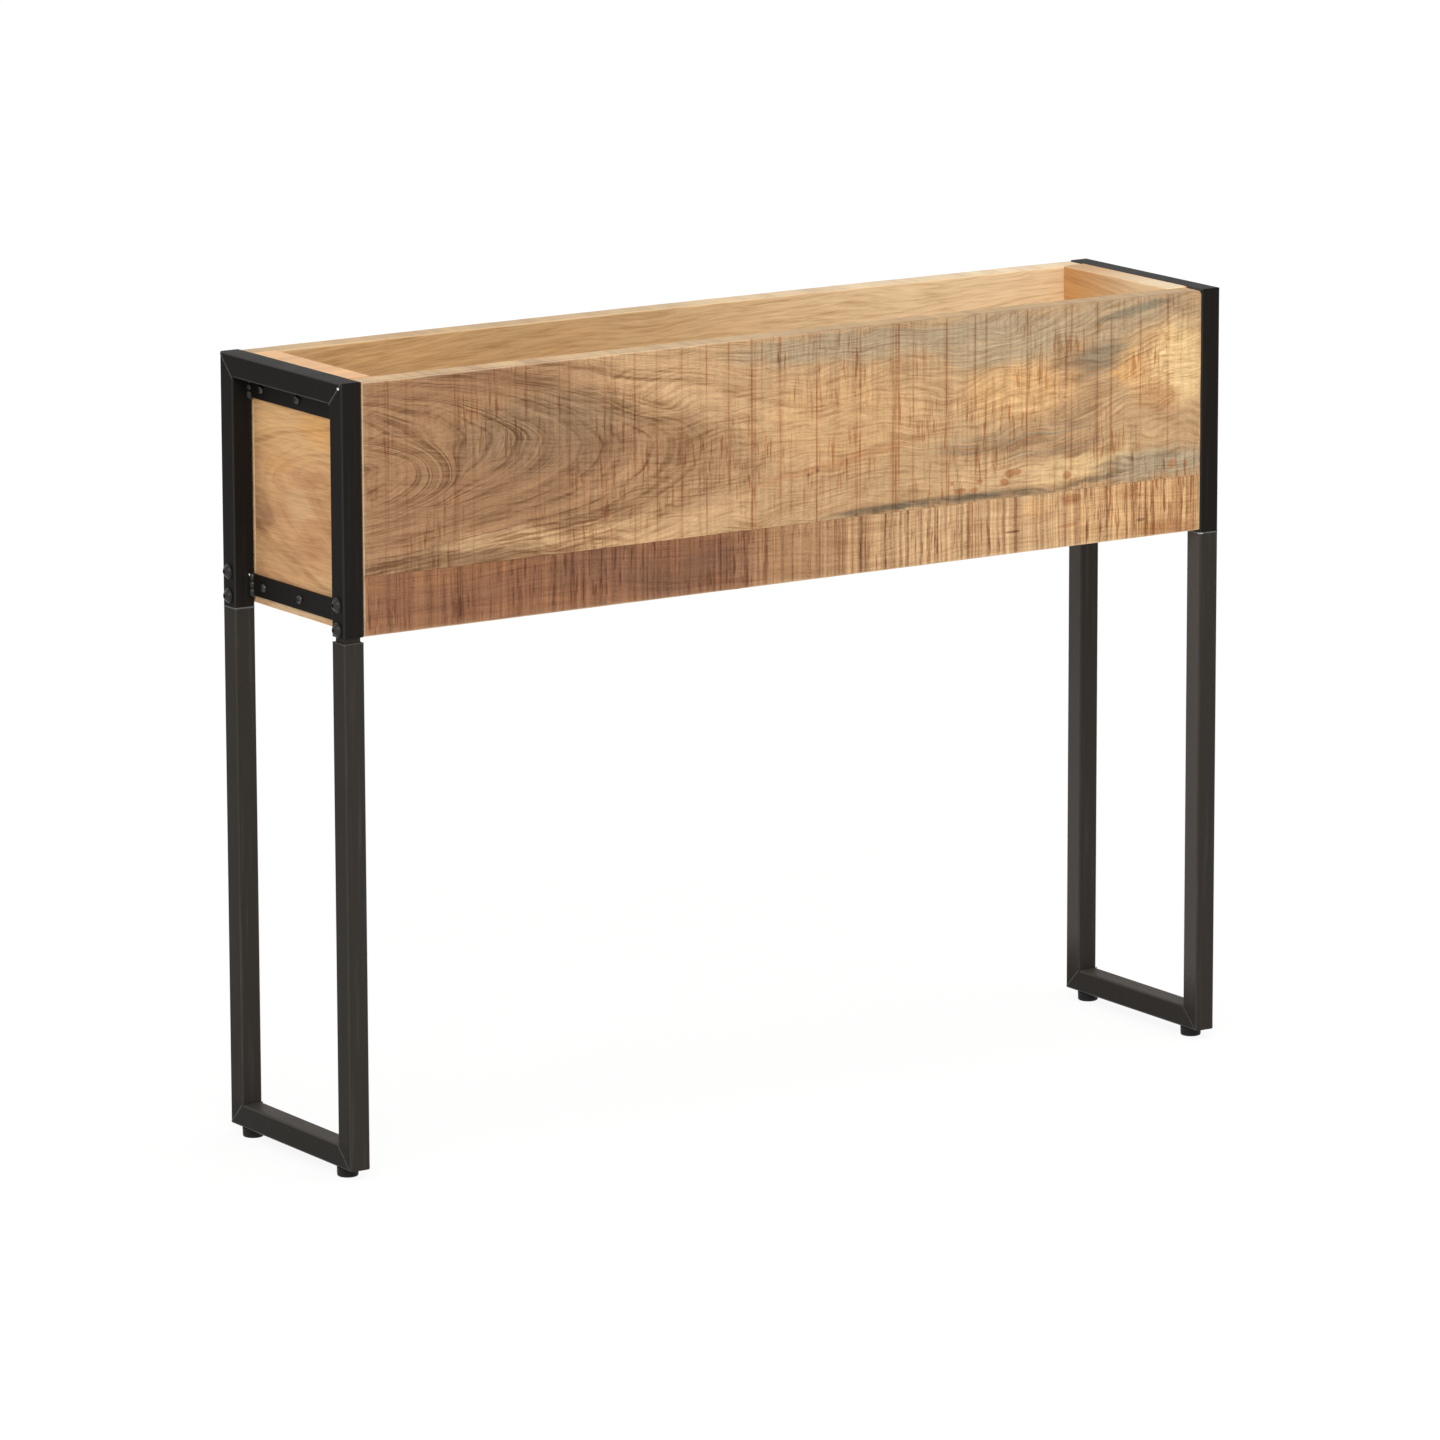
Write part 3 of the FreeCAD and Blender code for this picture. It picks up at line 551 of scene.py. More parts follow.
def ring_pattern(f, grain, run, rise, drift):
    """Growth rings of a plain-sawn board: a shallow cut through a tapering stem, with swirls."""
    stray = f.noise(run * 15 + grain.seed, rise * 40, detail=3.0) - 0.5
    height = rise - grain.pith - run * grain.lean + drift * 0.03 + stray * 0.005
    height = height * (f.smooth(height, -0.015, 0.005, 0.5) + 0.5)  # wider rings below the pith
    depth = run * grain.taper + grain.pith_depth
    ring = f.math("SQRT", height * height + depth * depth) / grain.ring
    first, last, extra = grain.bunch
    close = f.smooth(ring, first, last)
    ring = ring + close * extra
    for nest in grain.nests:
        ring = ring - f.oval(run + drift * 0.03, rise + stray * 0.006, nest, (1.0, 0.0))
    broad = f.noise_along(ring * 0.9 + grain.seed) - 0.5
    lines = f.smooth(abs(f.noise_along(ring * 1.5 + grain.seed, detail=1.0) - 0.5), 0.055, 0.01)
    thin = f.noise_along(ring * 4.5 - grain.seed, detail=1.0) - 0.5
    hair = f.noise(run * 14, ring * 9, detail=3.0, rough=0.7) - 0.5
    if extra:
        beat = f.smooth(f.math("SINE", ring * 14.6), 0.25, 0.95) * (close * (1 - close) * 4.0)
        lines = f.math("MAXIMUM", lines, beat)
    worn = f.smooth(stray, -0.2, 0.15, 0.7) + 0.3
    swing = f.smooth(run, grain.ring_fade[1], grain.ring_fade[0], 0.85) + 0.15
    return (broad * 0.65 - lines * worn * 0.30 + thin * worn * 0.55 + 0.09 + hair * 0.75) * swing


def fibre_sway(f, grain, run, rise):
    """How far the fibres wave up and down, and climb at one end."""
    start, stop, height, low, high = grain.climb
    wave = (f.noise(run * 9 + grain.seed, rise * 18) - 0.5) * 0.028
    return wave - f.smooth(run, start, stop, height) * f.smooth(rise, low, high)


def glue_stain(f, grain, run, rise, ragged):
    """Mask of the sagging grey streak beside the glue line."""
    glue, middle, sag, reach = grain.stain
    off = run - middle
    line = rise - glue + off * off * sag + ragged * 0.003
    streak = f.smooth(abs(line), 0.0052, 0.0006) * f.smooth(abs(off), reach, reach * 0.6)
    return streak * (ragged * 2 + 0.9)


def saw_texture(f, grain, run, rise):
    """Marks across the grain from the saw: streaks with torn fibres and stripes, and the rust smears."""
    seed = grain.seed
    zone = f.smooth(f.noise(run * 11 + seed, rise * 13), 0.40, 0.62)
    fine = f.noise(run * 250 + seed, rise * 12, detail=3.0, rough=0.7) - 0.5
    smear = f.smooth(f.noise(run * 300 + seed, rise * 30, detail=2.0, rough=0.6), 0.56, 0.70)
    fuzz = f.noise(run * 260, rise * 620, detail=2.0, rough=0.7) - 0.5
    cut = fine * (zone * 0.7 + 0.3) + fuzz * 0.45
    if grain.stripes:
        pitch, left, right = grain.stripes
        wander = f.noise(run * 8 + seed, rise * 26) * 0.9
        stripe = f.noise_along(run / pitch + wander, detail=3.0, rough=0.75) - 0.5
        ribs = f.noise_along(run / pitch * 0.31 + seed) - 0.5
        broken = f.smooth(f.noise(run * 30 - seed, rise * 70), 0.36, 0.60)
        broken = f.math("MAXIMUM", broken * 0.75 + 0.25, f.smooth(run, -0.05, 0.12))
        cut = cut + (stripe * broken * 1.3 + ribs * 0.7) * (f.smooth(run, -0.2, 0.12, right - left) + left)
    return cut * grain.sawn, smear * (zone * 0.75 + 0.15)


def board_finish(name, grain, look):
    """Timber with rings, fibres, saw marks, weathered patches and pale sanded edges."""
    f = Finish(name, Specular_IOR_Level=0.28)
    x, y, z = f.place()
    run, thick = (x, y) if grain.along == 0 else (y, x)
    seed = grain.seed
    drift = f.noise(run * 3.2 + seed, z * 10) - 0.5
    ragged = f.noise(run * 26 + seed, z * 90, detail=3.0, rough=0.65) - 0.5
    level = z + drift * 0.03
    if grain.wisps:
        sway = fibre_sway(f, grain, run, z)
        level = level + sway
    fibre = f.noise(run * 24 + seed, level * 420, detail=4.0, rough=0.65) - 0.5
    far = run + drift * 0.04 + ragged * 0.035 + fibre * 0.015
    high = z + drift * 0.012 + ragged * 0.014
    tone = f.blend(f.smooth(drift, -0.2, 0.2, 0.12), getattr(look, grain.ground), look.brown)
    for patch in grain.patches:
        tone = f.blend(f.oval(far, high, patch), tone, getattr(look, patch.tone))
    if grain.stain:
        tone = f.blend(glue_stain(f, grain, run, z, ragged), tone, look.vein)
    if grain.wisps:
        wave = f.smooth(f.noise_along((z + sway + fibre * 0.001) * 430 + seed), 0.50, 0.60)
    for wisp in grain.wisps:
        tone = f.blend(wave * f.oval(far, high, wisp), tone, getattr(look, wisp.tone))
    for blot in grain.blots:
        mask = f.oval(run + ragged * 0.006, z + ragged * 0.004, blot, (1.5, 0.4))
        tone = f.blend(mask, tone, getattr(look, blot.tone))
    cloud = f.smooth(f.noise(run * 7 - seed, z * 17, detail=4.0, rough=0.6), 0.34, 0.68)
    if grain.stripes:
        tone = f.blend(cloud * f.smooth(run, 0.10, -0.06, 0.3), tone, look.rust)
    outside = f.smooth(abs(thick - grain.face), *SAWN_SKIN)
    planed = f.blend(cloud * 0.45, look.planed if grain.sawn else tone, look.amber)
    # Painted light: the inside face is painted paler over this stretch.
    if grain.painted_light_span:
        planed = f.blend(f.smooth(run, *grain.painted_light_span) * (1 - outside), planed, look.painted_inside_light)
    tone = f.blend(outside, planed, tone) if grain.sawn else planed
    rings = ring_pattern(f, grain, run, z, drift) * grain.contrast + fibre * grain.fibre
    shade = rings * (outside * 0.3 + 0.7) if grain.sawn else rings
    tone = f.times(tone, f.ramp(shade + 0.5, RING_TINTS))
    groove = f.attribute("saw_mark")
    height = shade * 0.35 - groove * 0.8
    if grain.sawn:
        cut, smear = saw_texture(f, grain, run, z)
        cut = cut * outside
        dash = look.umber if grain.stripes else look.rust
        tone = f.times(tone, tuple(v ** 0.45 for v in dash), smear * outside)
        tone = f.times(tone, f.ramp(cut + 0.5, SAW_TINTS))
        tone = f.times(tone, GROOVE_TINT, groove * outside)
        height = height + cut * 0.7
    rim = f.blend(f.smooth(run, *grain.dull_edge, 0.75), look.rim, look.olive)
    tone = f.blend(f.attribute("worn_edge") * (ragged * 0.6 + 0.8), tone, f.blend(0.75, tone, rim))
    # Painted shade on faces that look up, on the long walls and the right end.
    if grain.along == 0 or grain.painted_light_span:
        tone = f.times(tone, TOP_FACE_SHADE, f.smooth(f.facing()[2], 0.5, 0.9))
    return f.feed(Base_Color=tone, Roughness=fibre * 0.3 + 0.63 + outside * 0.06,
                  Normal=f.bump(height, strength=0.35, distance=0.0005))


def stations(low, high, margin, pitch, extra=()):
    """Grid lines from low to high: close together over the margins, evenly spaced between."""
    edge = np.array(EDGE_STEPS)
    count = max(2, round((high - low - margin[0] - margin[1]) / pitch))
    inner = np.linspace(low + margin[0], high - margin[1], count + 1)
    lines = np.concatenate([low + edge * margin[0], inner, high - edge * margin[1], extra])
    lines = np.unique(np.round(lines[(lines >= low) & (lines <= high)], 7))
    apart = np.append(True, np.diff(lines) > LEAST_STEP)
    return lines[apart]


def skin(counts):
    """Lattice places and outward quads of a box's surface."""
    quads = []
    for axis in range(3):
        first, second = (axis + 1) % 3, (axis + 2) % 3
        rows, columns = np.meshgrid(np.arange(counts[first]), np.arange(counts[second]), indexing="ij")
        for side in (0, counts[axis] - 1):
            place = np.zeros((3, *rows.shape), int)
            place[axis], place[first], place[second] = side, rows, columns
            code = np.ravel_multi_index(place, counts)
            ring = [code[:-1, :-1], code[1:, :-1], code[1:, 1:], code[:-1, 1:]]
            square = np.stack(ring, -1).reshape(-1, 4)
            quads.append(square if side else square[:, ::-1])
    used, faces = np.unique(np.concatenate(quads), return_inverse=True)
    return np.stack(np.unravel_index(used, counts), -1), faces.reshape(-1, 4)


def rolling(draw, places, pitches):
    """A smooth irregular wave between -1 and 1 along the places."""
    waves = [np.sin(places * (math.tau / pitch) + draw.uniform(0, math.tau)) for pitch in pitches]
    return sum(waves) / len(waves)


def eased(points, low, high, thick, eases, corner, draw):
    """Rounds a board's outline corners and edges; returns the points and how far each lies on an edge."""
    flat = [axis for axis in range(3) if axis != thick]
    centre, half = (low + high) / 2, (high - low) / 2
    spot = points[:, flat] - centre[flat]
    sign = np.where(spot < 0, -1.0, 1.0)
    reach = np.abs(spot)
    top_right = (sign[:, 0] > 0) & (sign[:, 1] > 0)
    ends, bottom, top = eases
    radius = np.where(top_right, corner, np.where(sign[:, 1] > 0, top, bottom))[:, None]
    inside = reach - (half[flat] - radius)
    in_corner = (inside > 0).all(1)
    share_in = np.clip(inside / radius, 0, 1)
    rounded = share_in * np.sqrt(1 - share_in[:, ::-1] ** 2 / 2)
    reach = np.where(in_corner[:, None], half[flat] - radius + rounded * radius, reach)
    gap = reach - half[flat]
    nearest = np.eye(2)[gap.argmax(1)]
    turn = rounded / np.maximum(np.linalg.norm(rounded, axis=1), TINY)[:, None]
    normal = np.where(in_corner[:, None], turn, nearest)
    depth = np.where(in_corner, np.linalg.norm(rounded, axis=1) * radius[:, 0] - radius[:, 0], gap.max(1))
    wear = 1 + 0.3 * rolling(draw, points[:, flat[0]] + 0.7 * points[:, flat[1]], WEAR_WAVES)
    round_edge = normal[:, 0] ** 2 * ends + normal[:, 1] ** 2 * np.where(sign[:, 1] > 0, top, bottom)
    round_edge = round_edge * np.where(round_edge > 1 * MM, wear, 1)
    across = points[:, thick] - centre[thick]
    out = np.clip(depth + round_edge, 0, None)
    through = np.clip(np.abs(across) - half[thick] + round_edge, 0, None)
    on_edge = (out > 0) & (through > 0)
    pull = np.where(on_edge, round_edge / np.maximum(np.hypot(out, through), TINY), 1)
    spot = sign * (reach + normal * (out * pull - out)[:, None])
    across = across + np.sign(across) * (through * pull - through)
    moved = points.copy()
    moved[:, flat] = spot + centre[flat]
    moved[:, thick] = across + centre[thick]
    on = np.where(on_edge, np.minimum(out, through) / np.maximum(round_edge, TINY), 0)
    on = np.maximum(on * 1.4, 0.35 + depth / (8 * MM)) * (round_edge > 1 * MM)
    return moved, np.clip(on, 0, 1)


def mark_lines(grain, low, high, draw):
    """Saw marks as (place, half width, strength): the ones seen on the board, then closer fine ones."""
    marks = [(place, draw.uniform(*MARK_HALF) * MM, strength) for place, strength in grain.marks]
    step, strength = grain.fine_marks
    place = low + draw.uniform(0.2, 1) * step
    while place < high - 3 * MM:
        marks.append((place, draw.uniform(*FINE_HALF) * MM, draw.uniform(*FINE_STRENGTH) * strength))
        place += step * draw.uniform(*FINE_STEP)
    return marks


def plank(name, node, grain, look, eases, corner, bow=0.0):
    """A wall board with sawn outer face, eased edges and real saw grooves, in the place of its CAD board."""
    low, high = (np.array(corner_of) for corner_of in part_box(node))
    draw = np.random.default_rng(int(grain.seed * 10) + 5)
    along, thick, face = grain.along, 1 - grain.along, grain.face
    marks = mark_lines(grain, low[along], high[along], draw) if grain.sawn else []
    beside = [place + shift * half for place, half, _ in marks for shift in (-1, -0.35, 0.35, 1)]
    ends, bottom, top = (EASE_MARGIN * ease for ease in eases)
    lines = [None, None, None]
    lines[along] = stations(low[along], high[along], (ends, max(ends, corner)), LONG_PITCH, beside)
    lines[thick] = stations(low[thick], high[thick], (look.ease * EASE_MARGIN,) * 2, CROSS_PITCH)
    lines[2] = stations(low[2], high[2], (bottom, max(top, corner)), CROSS_PITCH)
    lattice, faces = skin([len(row) for row in lines])
    points = np.stack([row[lattice[:, axis]] for axis, row in enumerate(lines)], -1)
    run, rise = points[:, along].copy(), points[:, 2].copy()
    mark = np.zeros(len(points))
    for place, half, strength in marks:
        fade = np.clip(0.75 + 0.5 * rolling(draw, rise, FADE_WAVES), 0.1, 1)
        mark = np.maximum(mark, np.clip(1.35 - np.abs(run - place) / half, 0, 1) * fade * strength)
    outward = 1.0 if face > points[:, thick].mean() else -1.0
    on_face = np.abs(points[:, thick] - face) < ON_FACE
    points, worn = eased(points, low, high, thick, eases, corner, draw)
    flat_face = on_face & (np.abs(points[:, thick] - face) < ON_FACE)
    swell = 0.5 + 0.5 * rolling(draw, run + 0.15 * rise, SWELL_WAVES)
    sunk = (mark + swell * 0.5) * look.groove if grain.sawn else swell * 0.25 * look.groove
    points[:, thick] -= np.where(flat_face, outward * sunk, 0)
    if bow:
        middle, half_run = (low[along] + high[along]) / 2, (high[along] - low[along]) / 2
        climb = np.clip((rise - low[2]) / (high[2] - low[2]), 0, 1)
        points[:, 2] -= bow * ((run - middle) / half_run) ** 2 * climb
    mesh = new_mesh(name, points.tolist(), faces=faces.tolist())
    for label, values in (("saw_mark", mark * on_face), ("worn_edge", worn)):
        layer = mesh.attributes.new(label, "FLOAT", "POINT")
        layer.data.foreach_set("value", values.astype(np.float32))
    return piece(name, mesh, board_finish(f"{name}_timber", grain, look), ROOT, "timber", node)


# Meshes and node trees


def new_mesh(name, points, edges=(), faces=()):
    mesh = bpy.data.meshes.new(name)
    mesh.from_pydata(points, edges, faces)
    return mesh


def loose(name, data):
    thing = bpy.data.objects.new(name, data)
    bpy.context.scene.collection.objects.link(thing)
    return thing


def dye(mesh, material):
    mesh.materials.clear()
    mesh.materials.append(material)


def piece(name, mesh, material, body, slot, *stands_for, smooth_angle=None):
    """A finished piece of the planter, riding on its body in the place of its CAD nodes."""
    thing = loose(name, mesh)
    if material:
        dye(mesh, material)
    mesh.polygons.foreach_set("use_smooth", [True] * len(mesh.polygons))
    if smooth_angle:
        mesh.set_sharp_from_angle(angle=math.radians(smooth_angle))
    mesh.update()
    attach(thing, body)
    if stands_for:
        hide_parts(*stands_for)
    return thing


def turned(name, profile, sides, closed=False):
    """A mesh turned about Z from (radius, height) points, bottom to top along the outside."""
    points, rings = [], []
    for radius, height in profile:
        count = sides if radius > 0 else 1
        rings.append(list(range(len(points), len(points) + count)))
        angles = [2 * math.pi * step / sides for step in range(count)]
        points += [(radius * math.cos(a), radius * math.sin(a), height) for a in angles]
    faces = []
    for lower, upper in zip(rings, rings[1:] + (rings[:1] if closed else [])):
        for step in range(sides):
            after = (step + 1) % sides
            loop = [lower[step % len(lower)], lower[after % len(lower)],
                    upper[after % len(upper)], upper[step % len(upper)]]
            faces.append(list(dict.fromkeys(loop)))
    return new_mesh(name, points, faces=faces)


def block(name, size, middle):
    corners = [(x, y, z) for x in (-1, 1) for y in (-1, 1) for z in (-1, 1)]
    points = [[m + s / 2 * c for m, s, c in zip(middle, size, corner)] for corner in corners]
    faces = [(0, 1, 3, 2), (4, 6, 7, 5), (0, 4, 5, 1), (2, 3, 7, 6), (0, 2, 6, 4), (1, 5, 7, 3)]
    return new_mesh(name, points, faces=faces)


def settled(thing):
    """The plain mesh that an object's modifiers give; the object itself is removed."""
    view = bpy.context.evaluated_depsgraph_get()
    mesh = bpy.data.meshes.new_from_object(thing.evaluated_get(view), depsgraph=view)
    thing.modifiers.clear()
    bpy.data.objects.remove(thing)
    if not len(mesh.polygons):
        raise RuntimeError(f"{mesh.name} came out empty")
    return mesh


def recessed(name, profile, cutters):
    """A turned head with its drive recess cut out."""
    head = loose(name, turned(name, profile, HEAD_SIDES))
    tools = [loose(f"{name}_cutter_{number}", mesh) for number, mesh in enumerate(cutters)]
    for tool in tools:
        cut = head.modifiers.new("recess", "BOOLEAN")
        cut.operation = "DIFFERENCE"
        cut.solver = "EXACT"
        cut.object = tool
    mesh = settled(head)
    for tool in tools:
        bpy.data.objects.remove(tool)
    return mesh


class Tree(Sheet):
    """A Geometry Nodes tree with named inputs that ends in Realize Instances and Set Material."""

    KINDS = {float: "NodeSocketFloat", int: "NodeSocketInt", bpy.types.Object: "NodeSocketObject",
             Vector: "NodeSocketVector"}

    def __init__(self, name, **inputs):
        super().__init__(bpy.data.node_groups.new(name, "GeometryNodeTree"))
        self.values = {label.replace("_", " "): value for label, value in inputs.items()}
        face = self.tree.interface
        face.new_socket("Geometry", in_out="INPUT", socket_type="NodeSocketGeometry")
        for label, value in self.values.items():
            face.new_socket(label, in_out="INPUT", socket_type=self.KINDS[type(value)])
        face.new_socket("Geometry", in_out="OUTPUT", socket_type="NodeSocketGeometry")
        self.inputs = self.tree.nodes.new("NodeGroupInput")

    def __getitem__(self, label):
        return Wire(self, self.inputs.outputs[label])

    def random(self, low, high, seed, vector=False):
        kind, first = ("FLOAT_VECTOR", 0) if vector else ("FLOAT", 2)
        return self.node("FunctionNodeRandomValue", {"data_type": kind},
                         {first: low, first + 1: high, "Seed": seed}, output=0 if vector else 1)

    def close(self, geometry, material):
        real = self.node("GeometryNodeRealizeInstances", None, {"Geometry": geometry})
        done = self.node("GeometryNodeSetMaterial", None, {"Geometry": real, "Material": material})
        self.end("NodeGroupOutput", done, "Geometry")

    def run(self, name, mesh):
        """The plain mesh that this tree makes of a mesh."""
        thing = loose(name, mesh)
        modifier = thing.modifiers.new(name, "NODES")
        modifier.node_group = self.tree
        for item in self.tree.interface.items_tree:
            if item.item_type == "SOCKET" and item.in_out == "INPUT" and item.name in self.values:
                modifier[item.identifier] = self.values[item.name]
        made = settled(thing)
        made.name = name
        return made


def spread(name, heads, spots, aims, width, height, material, seed):
    """One head on each spot, aimed along its own direction and turned at random."""
    source = loose(f"{name}_source", heads)
    source.hide_render = True
    tree = Tree(name, Head=source, Head_width=width, Head_height=height, Turn_seed=seed)
    info = tree.node("GeometryNodeObjectInfo", None, {"Object": tree["Head"], "As Instance": True},
                     output="Geometry")
    aim = tree.node("GeometryNodeInputNamedAttribute", {"data_type": "FLOAT_VECTOR"}, {"Name": "aim"})
    stand = tree.node("FunctionNodeAlignRotationToVector", {"axis": "Z"}, {"Vector": aim})
    turn = tree.node("FunctionNodeAxisAngleToRotation", None,
                     {"Axis": (0, 0, 1), "Angle": tree.random(0.0, math.tau, tree["Turn seed"])})
    rotation = tree.node("FunctionNodeRotateRotation", {"rotation_space": "LOCAL"},
                         {"Rotation": stand, "Rotate By": turn})
    size = tree.spot(tree["Head width"], tree["Head width"], tree["Head height"])
    set_out = tree.node("GeometryNodeInstanceOnPoints", None,
                        {"Points": tree["Geometry"], "Instance": info, "Rotation": rotation, "Scale": size})
    tree.close(set_out, material)
    mesh = new_mesh(f"{name}_spots", spots)
    layer = mesh.attributes.new("aim", "FLOAT_VECTOR", "POINT")
    layer.data.foreach_set("vector", [value for aim_of in aims for value in aim_of])
    made = tree.run(name, mesh)
    bpy.data.objects.remove(source)
    return made


def beads(name, runs, width, height, step, material, seed):
    """Weld beads: overlapping flattened drops along straight runs."""
    tree = Tree(name, Bead_width=width, Bead_height=height, Ripple=step, Seed=seed)
    path = tree.node("GeometryNodeMeshToCurve", None, {"Mesh": tree["Geometry"]})
    dots = tree.node("GeometryNodeResampleCurve", {"mode": "LENGTH"},
                     {"Curve": path, "Length": tree["Ripple"]})
    shift = min(0.15 * MM, height * 0.2)
    stray = tree.random((-shift,) * 3, (shift,) * 3, tree["Seed"], vector=True)
    dots = tree.node("GeometryNodeSetPosition", None, {"Geometry": dots, "Offset": stray})
    drop = tree.node("GeometryNodeMeshIcoSphere", None, {"Radius": 0.5, "Subdivisions": 2})
    swell = tree.random(0.82, 1.12, tree["Seed"])
    wide = tree["Bead width"] * swell
    size = tree.spot(tree["Bead height"] * swell, wide, wide)
    laid = tree.node("GeometryNodeInstanceOnPoints", None, {"Points": dots, "Instance": drop, "Scale": size})
    tree.close(laid, material)
    points = [point for run in runs for point in run]
    return tree.run(name, new_mesh(f"{name}_runs", points, [(2 * n, 2 * n + 1) for n in range(len(runs))]))


def threaded(name, low, high, pitch, material):
    """A threaded stud standing on its own axis: a plain core and one long ridge wound round it."""
    middle = (low + high) / 2
    crest, run = (high.x - low.x) / 2, high.z - low.z
    ridge = pitch * 0.55
    tree = Tree(name, Crest=crest - ridge, Ridge=ridge, Run=run, Turns=(run - 2 * ridge) / pitch,
                Place=Vector((middle.x, middle.y, low.z)))

    def moved(part, offset):
        return tree.node("GeometryNodeTransform", None, {"Geometry": part, "Translation": offset})

    helix = tree.node("GeometryNodeCurveSpiral", None,
                      {"Resolution": 32, "Rotations": tree["Turns"], "Start Radius": tree["Crest"],
                       "End Radius": tree["Crest"], "Height": tree["Run"] - tree["Ridge"] * 2.0})
    edge = tree.node("GeometryNodeCurvePrimitiveCircle", None, {"Resolution": 4, "Radius": tree["Ridge"]})
    wound = tree.node("GeometryNodeCurveToMesh", None,
                      {"Curve": helix, "Profile Curve": edge, "Fill Caps": True})
    core = tree.node("GeometryNodeMeshCylinder", None,
                     {"Vertices": 32, "Radius": tree["Crest"] + tree["Ridge"] * 0.2, "Depth": tree["Run"]})
    both = tree.tree.nodes.new("GeometryNodeJoinGeometry")
    for part, lift in ((wound, tree["Ridge"]), (core, tree["Run"] * 0.5)):
        tree.tree.links.new(moved(part, tree.spot(0.0, 0.0, lift)).socket, both.inputs[0])
    tree.close(moved(Wire(tree, both.outputs[0]), tree["Place"]), material)
    return tree.run(name, new_mesh(f"{name}_start", []))


# Finishes other than timber


def coat_finish(name, base, sheen, rough, seed, edge_gloss=0.0, top=1.0, rim=None):
    """Baked-on black coat: orange peel, rubbed marks, glossy round edges; painted light on faces towards the
    middle, painted shade on faces towards the ends and low down, top faces painted lighter or darker.

    A rim is the corner of a cut tube end: a pale bare-steel line is painted along the cut top edge, partly an
    edge where the coat is worn through and partly a painted highlight, brightest at that corner as a painted
    glint.
    """
    f = Finish(name, Specular_IOR_Level=sheen, Coat_Roughness=0.22)
    x, y, z = f.place()
    fine = f.noise_through(900.0)
    broad = f.noise_through(26.0, detail=3.0)
    rubbed = f.smooth(f.noise((x + y) * 260 + seed, z * 9, detail=3.0, rough=0.6), 0.52, 0.8)
    facing = f.facing()
    bend = f.smooth(f.largest(*(abs(part) for part in facing)), 0.992, 0.90)
    painted_top_light = f.smooth(facing[2], 0.6, 1.0)
    inward = facing[0] * (1 - f.smooth(x, -0.1, 0.1, 2.0))
    # Painted light: faces towards the middle, above the bottom rails, are painted paler and bluer.
    inner_face_light = f.smooth(inward, 0.8, 1.0) * f.smooth(z, 0.03, 0.07)
    shaded = f.smooth(abs(facing[0]), 0.8, 1.0) * f.smooth(z, 0.034, 0.026, 0.5)
    tone = f.blend(rubbed * 0.35, base, scaled(base, 2.2))
    tone = f.blend(inner_face_light * 0.85, tone, (2.3 * base[0], 2.45 * base[1], 2.7 * base[2]))
    # Painted shade: faces towards the ends are painted darker.
    tone = f.blend(f.smooth(inward, -0.8, -1.0), tone, scaled(base, 0.82))
    tone = f.blend(shaded, tone, scaled(base, 0.45))
    # Painted light and shade: top faces take the base tone times top.
    tone = f.blend(painted_top_light * (0.9 - broad * 0.3), tone, scaled(base, top))
    if rim:
        # Painted highlight: a pale line along the legs' cut tops, with a painted glint at the rim corner.
        edge = f.smooth(z + (broad - 0.5) * 1.2 * MM, rim.z - 1.3 * MM, rim.z - 0.6 * MM)
        corner = f.oval(x, y, Oval(rim.x, rim.y, 3.2 * MM, 3.2 * MM, 1.0))
        tone = f.blend(edge * (corner * 0.85 + 0.15), tone, BARE_EDGE_GLINT)
    return f.feed(Base_Color=tone, Roughness=broad * 0.16 + rubbed * 0.08 + rough,
                  Coat_Weight=bend * edge_gloss, Normal=f.bump(fine, strength=0.12, distance=0.0002))


def plain_metal_finish(name, base):
    """Zinc plated steel with faint turning lines."""
    f = Finish(name, Metallic=0.9)
    x, y, z = f.place()
    lines = f.noise(z * 1800, (x + y) * 40)
    cloud = f.noise((x + y) * 220, z * 220, detail=3.0)
    tone = f.blend(cloud, scaled(base, 0.7), base)
    return f.feed(Base_Color=tone, Roughness=lines * 0.2 + 0.28,
                  Normal=f.bump(lines, strength=0.15, distance=0.0001))


def dowel_finish(name, base):
    """Turned dowel with straight grain along its length."""
    f = Finish(name)
    x, y, z = f.place()
    grain = f.noise(x * 30 + y * 30, z * 900, detail=3.0)
    tone = f.blend(f.smooth(grain, 0.35, 0.7), base, scaled(base, 0.72))
    return f.feed(Base_Color=tone, Roughness=grain * 0.2 + 0.55,
                  Normal=f.bump(grain, strength=0.2, distance=0.0002))


def foot_finish(name, base):
    """Moulded plastic with a fine spark texture and scuffs near the floor."""
    f = Finish(name, Specular_IOR_Level=0.16)
    z = f.place()[2]
    spark = f.noise_through(1600.0)
    scuff = f.smooth(z + (spark - 0.5) * 0.004, 0.003, 0.0) * 0.5
    tone = f.blend(scuff, base, tuple(2.4 * v + 0.004 for v in base))
    return f.feed(Base_Color=tone, Roughness=spark * 0.2 + 0.45,
                  Normal=f.bump(spark, strength=0.2, distance=0.0002))


def dress(names, material):
    """A finish on CAD nodes that keep their own shape."""
    for name in names:
        dye(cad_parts[name].data, material)


# Building steps


def outer_face(node, end):
    """X of a node's face towards the end of the planter."""
    low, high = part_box(node)
    return low.x if end == "left" else high.x


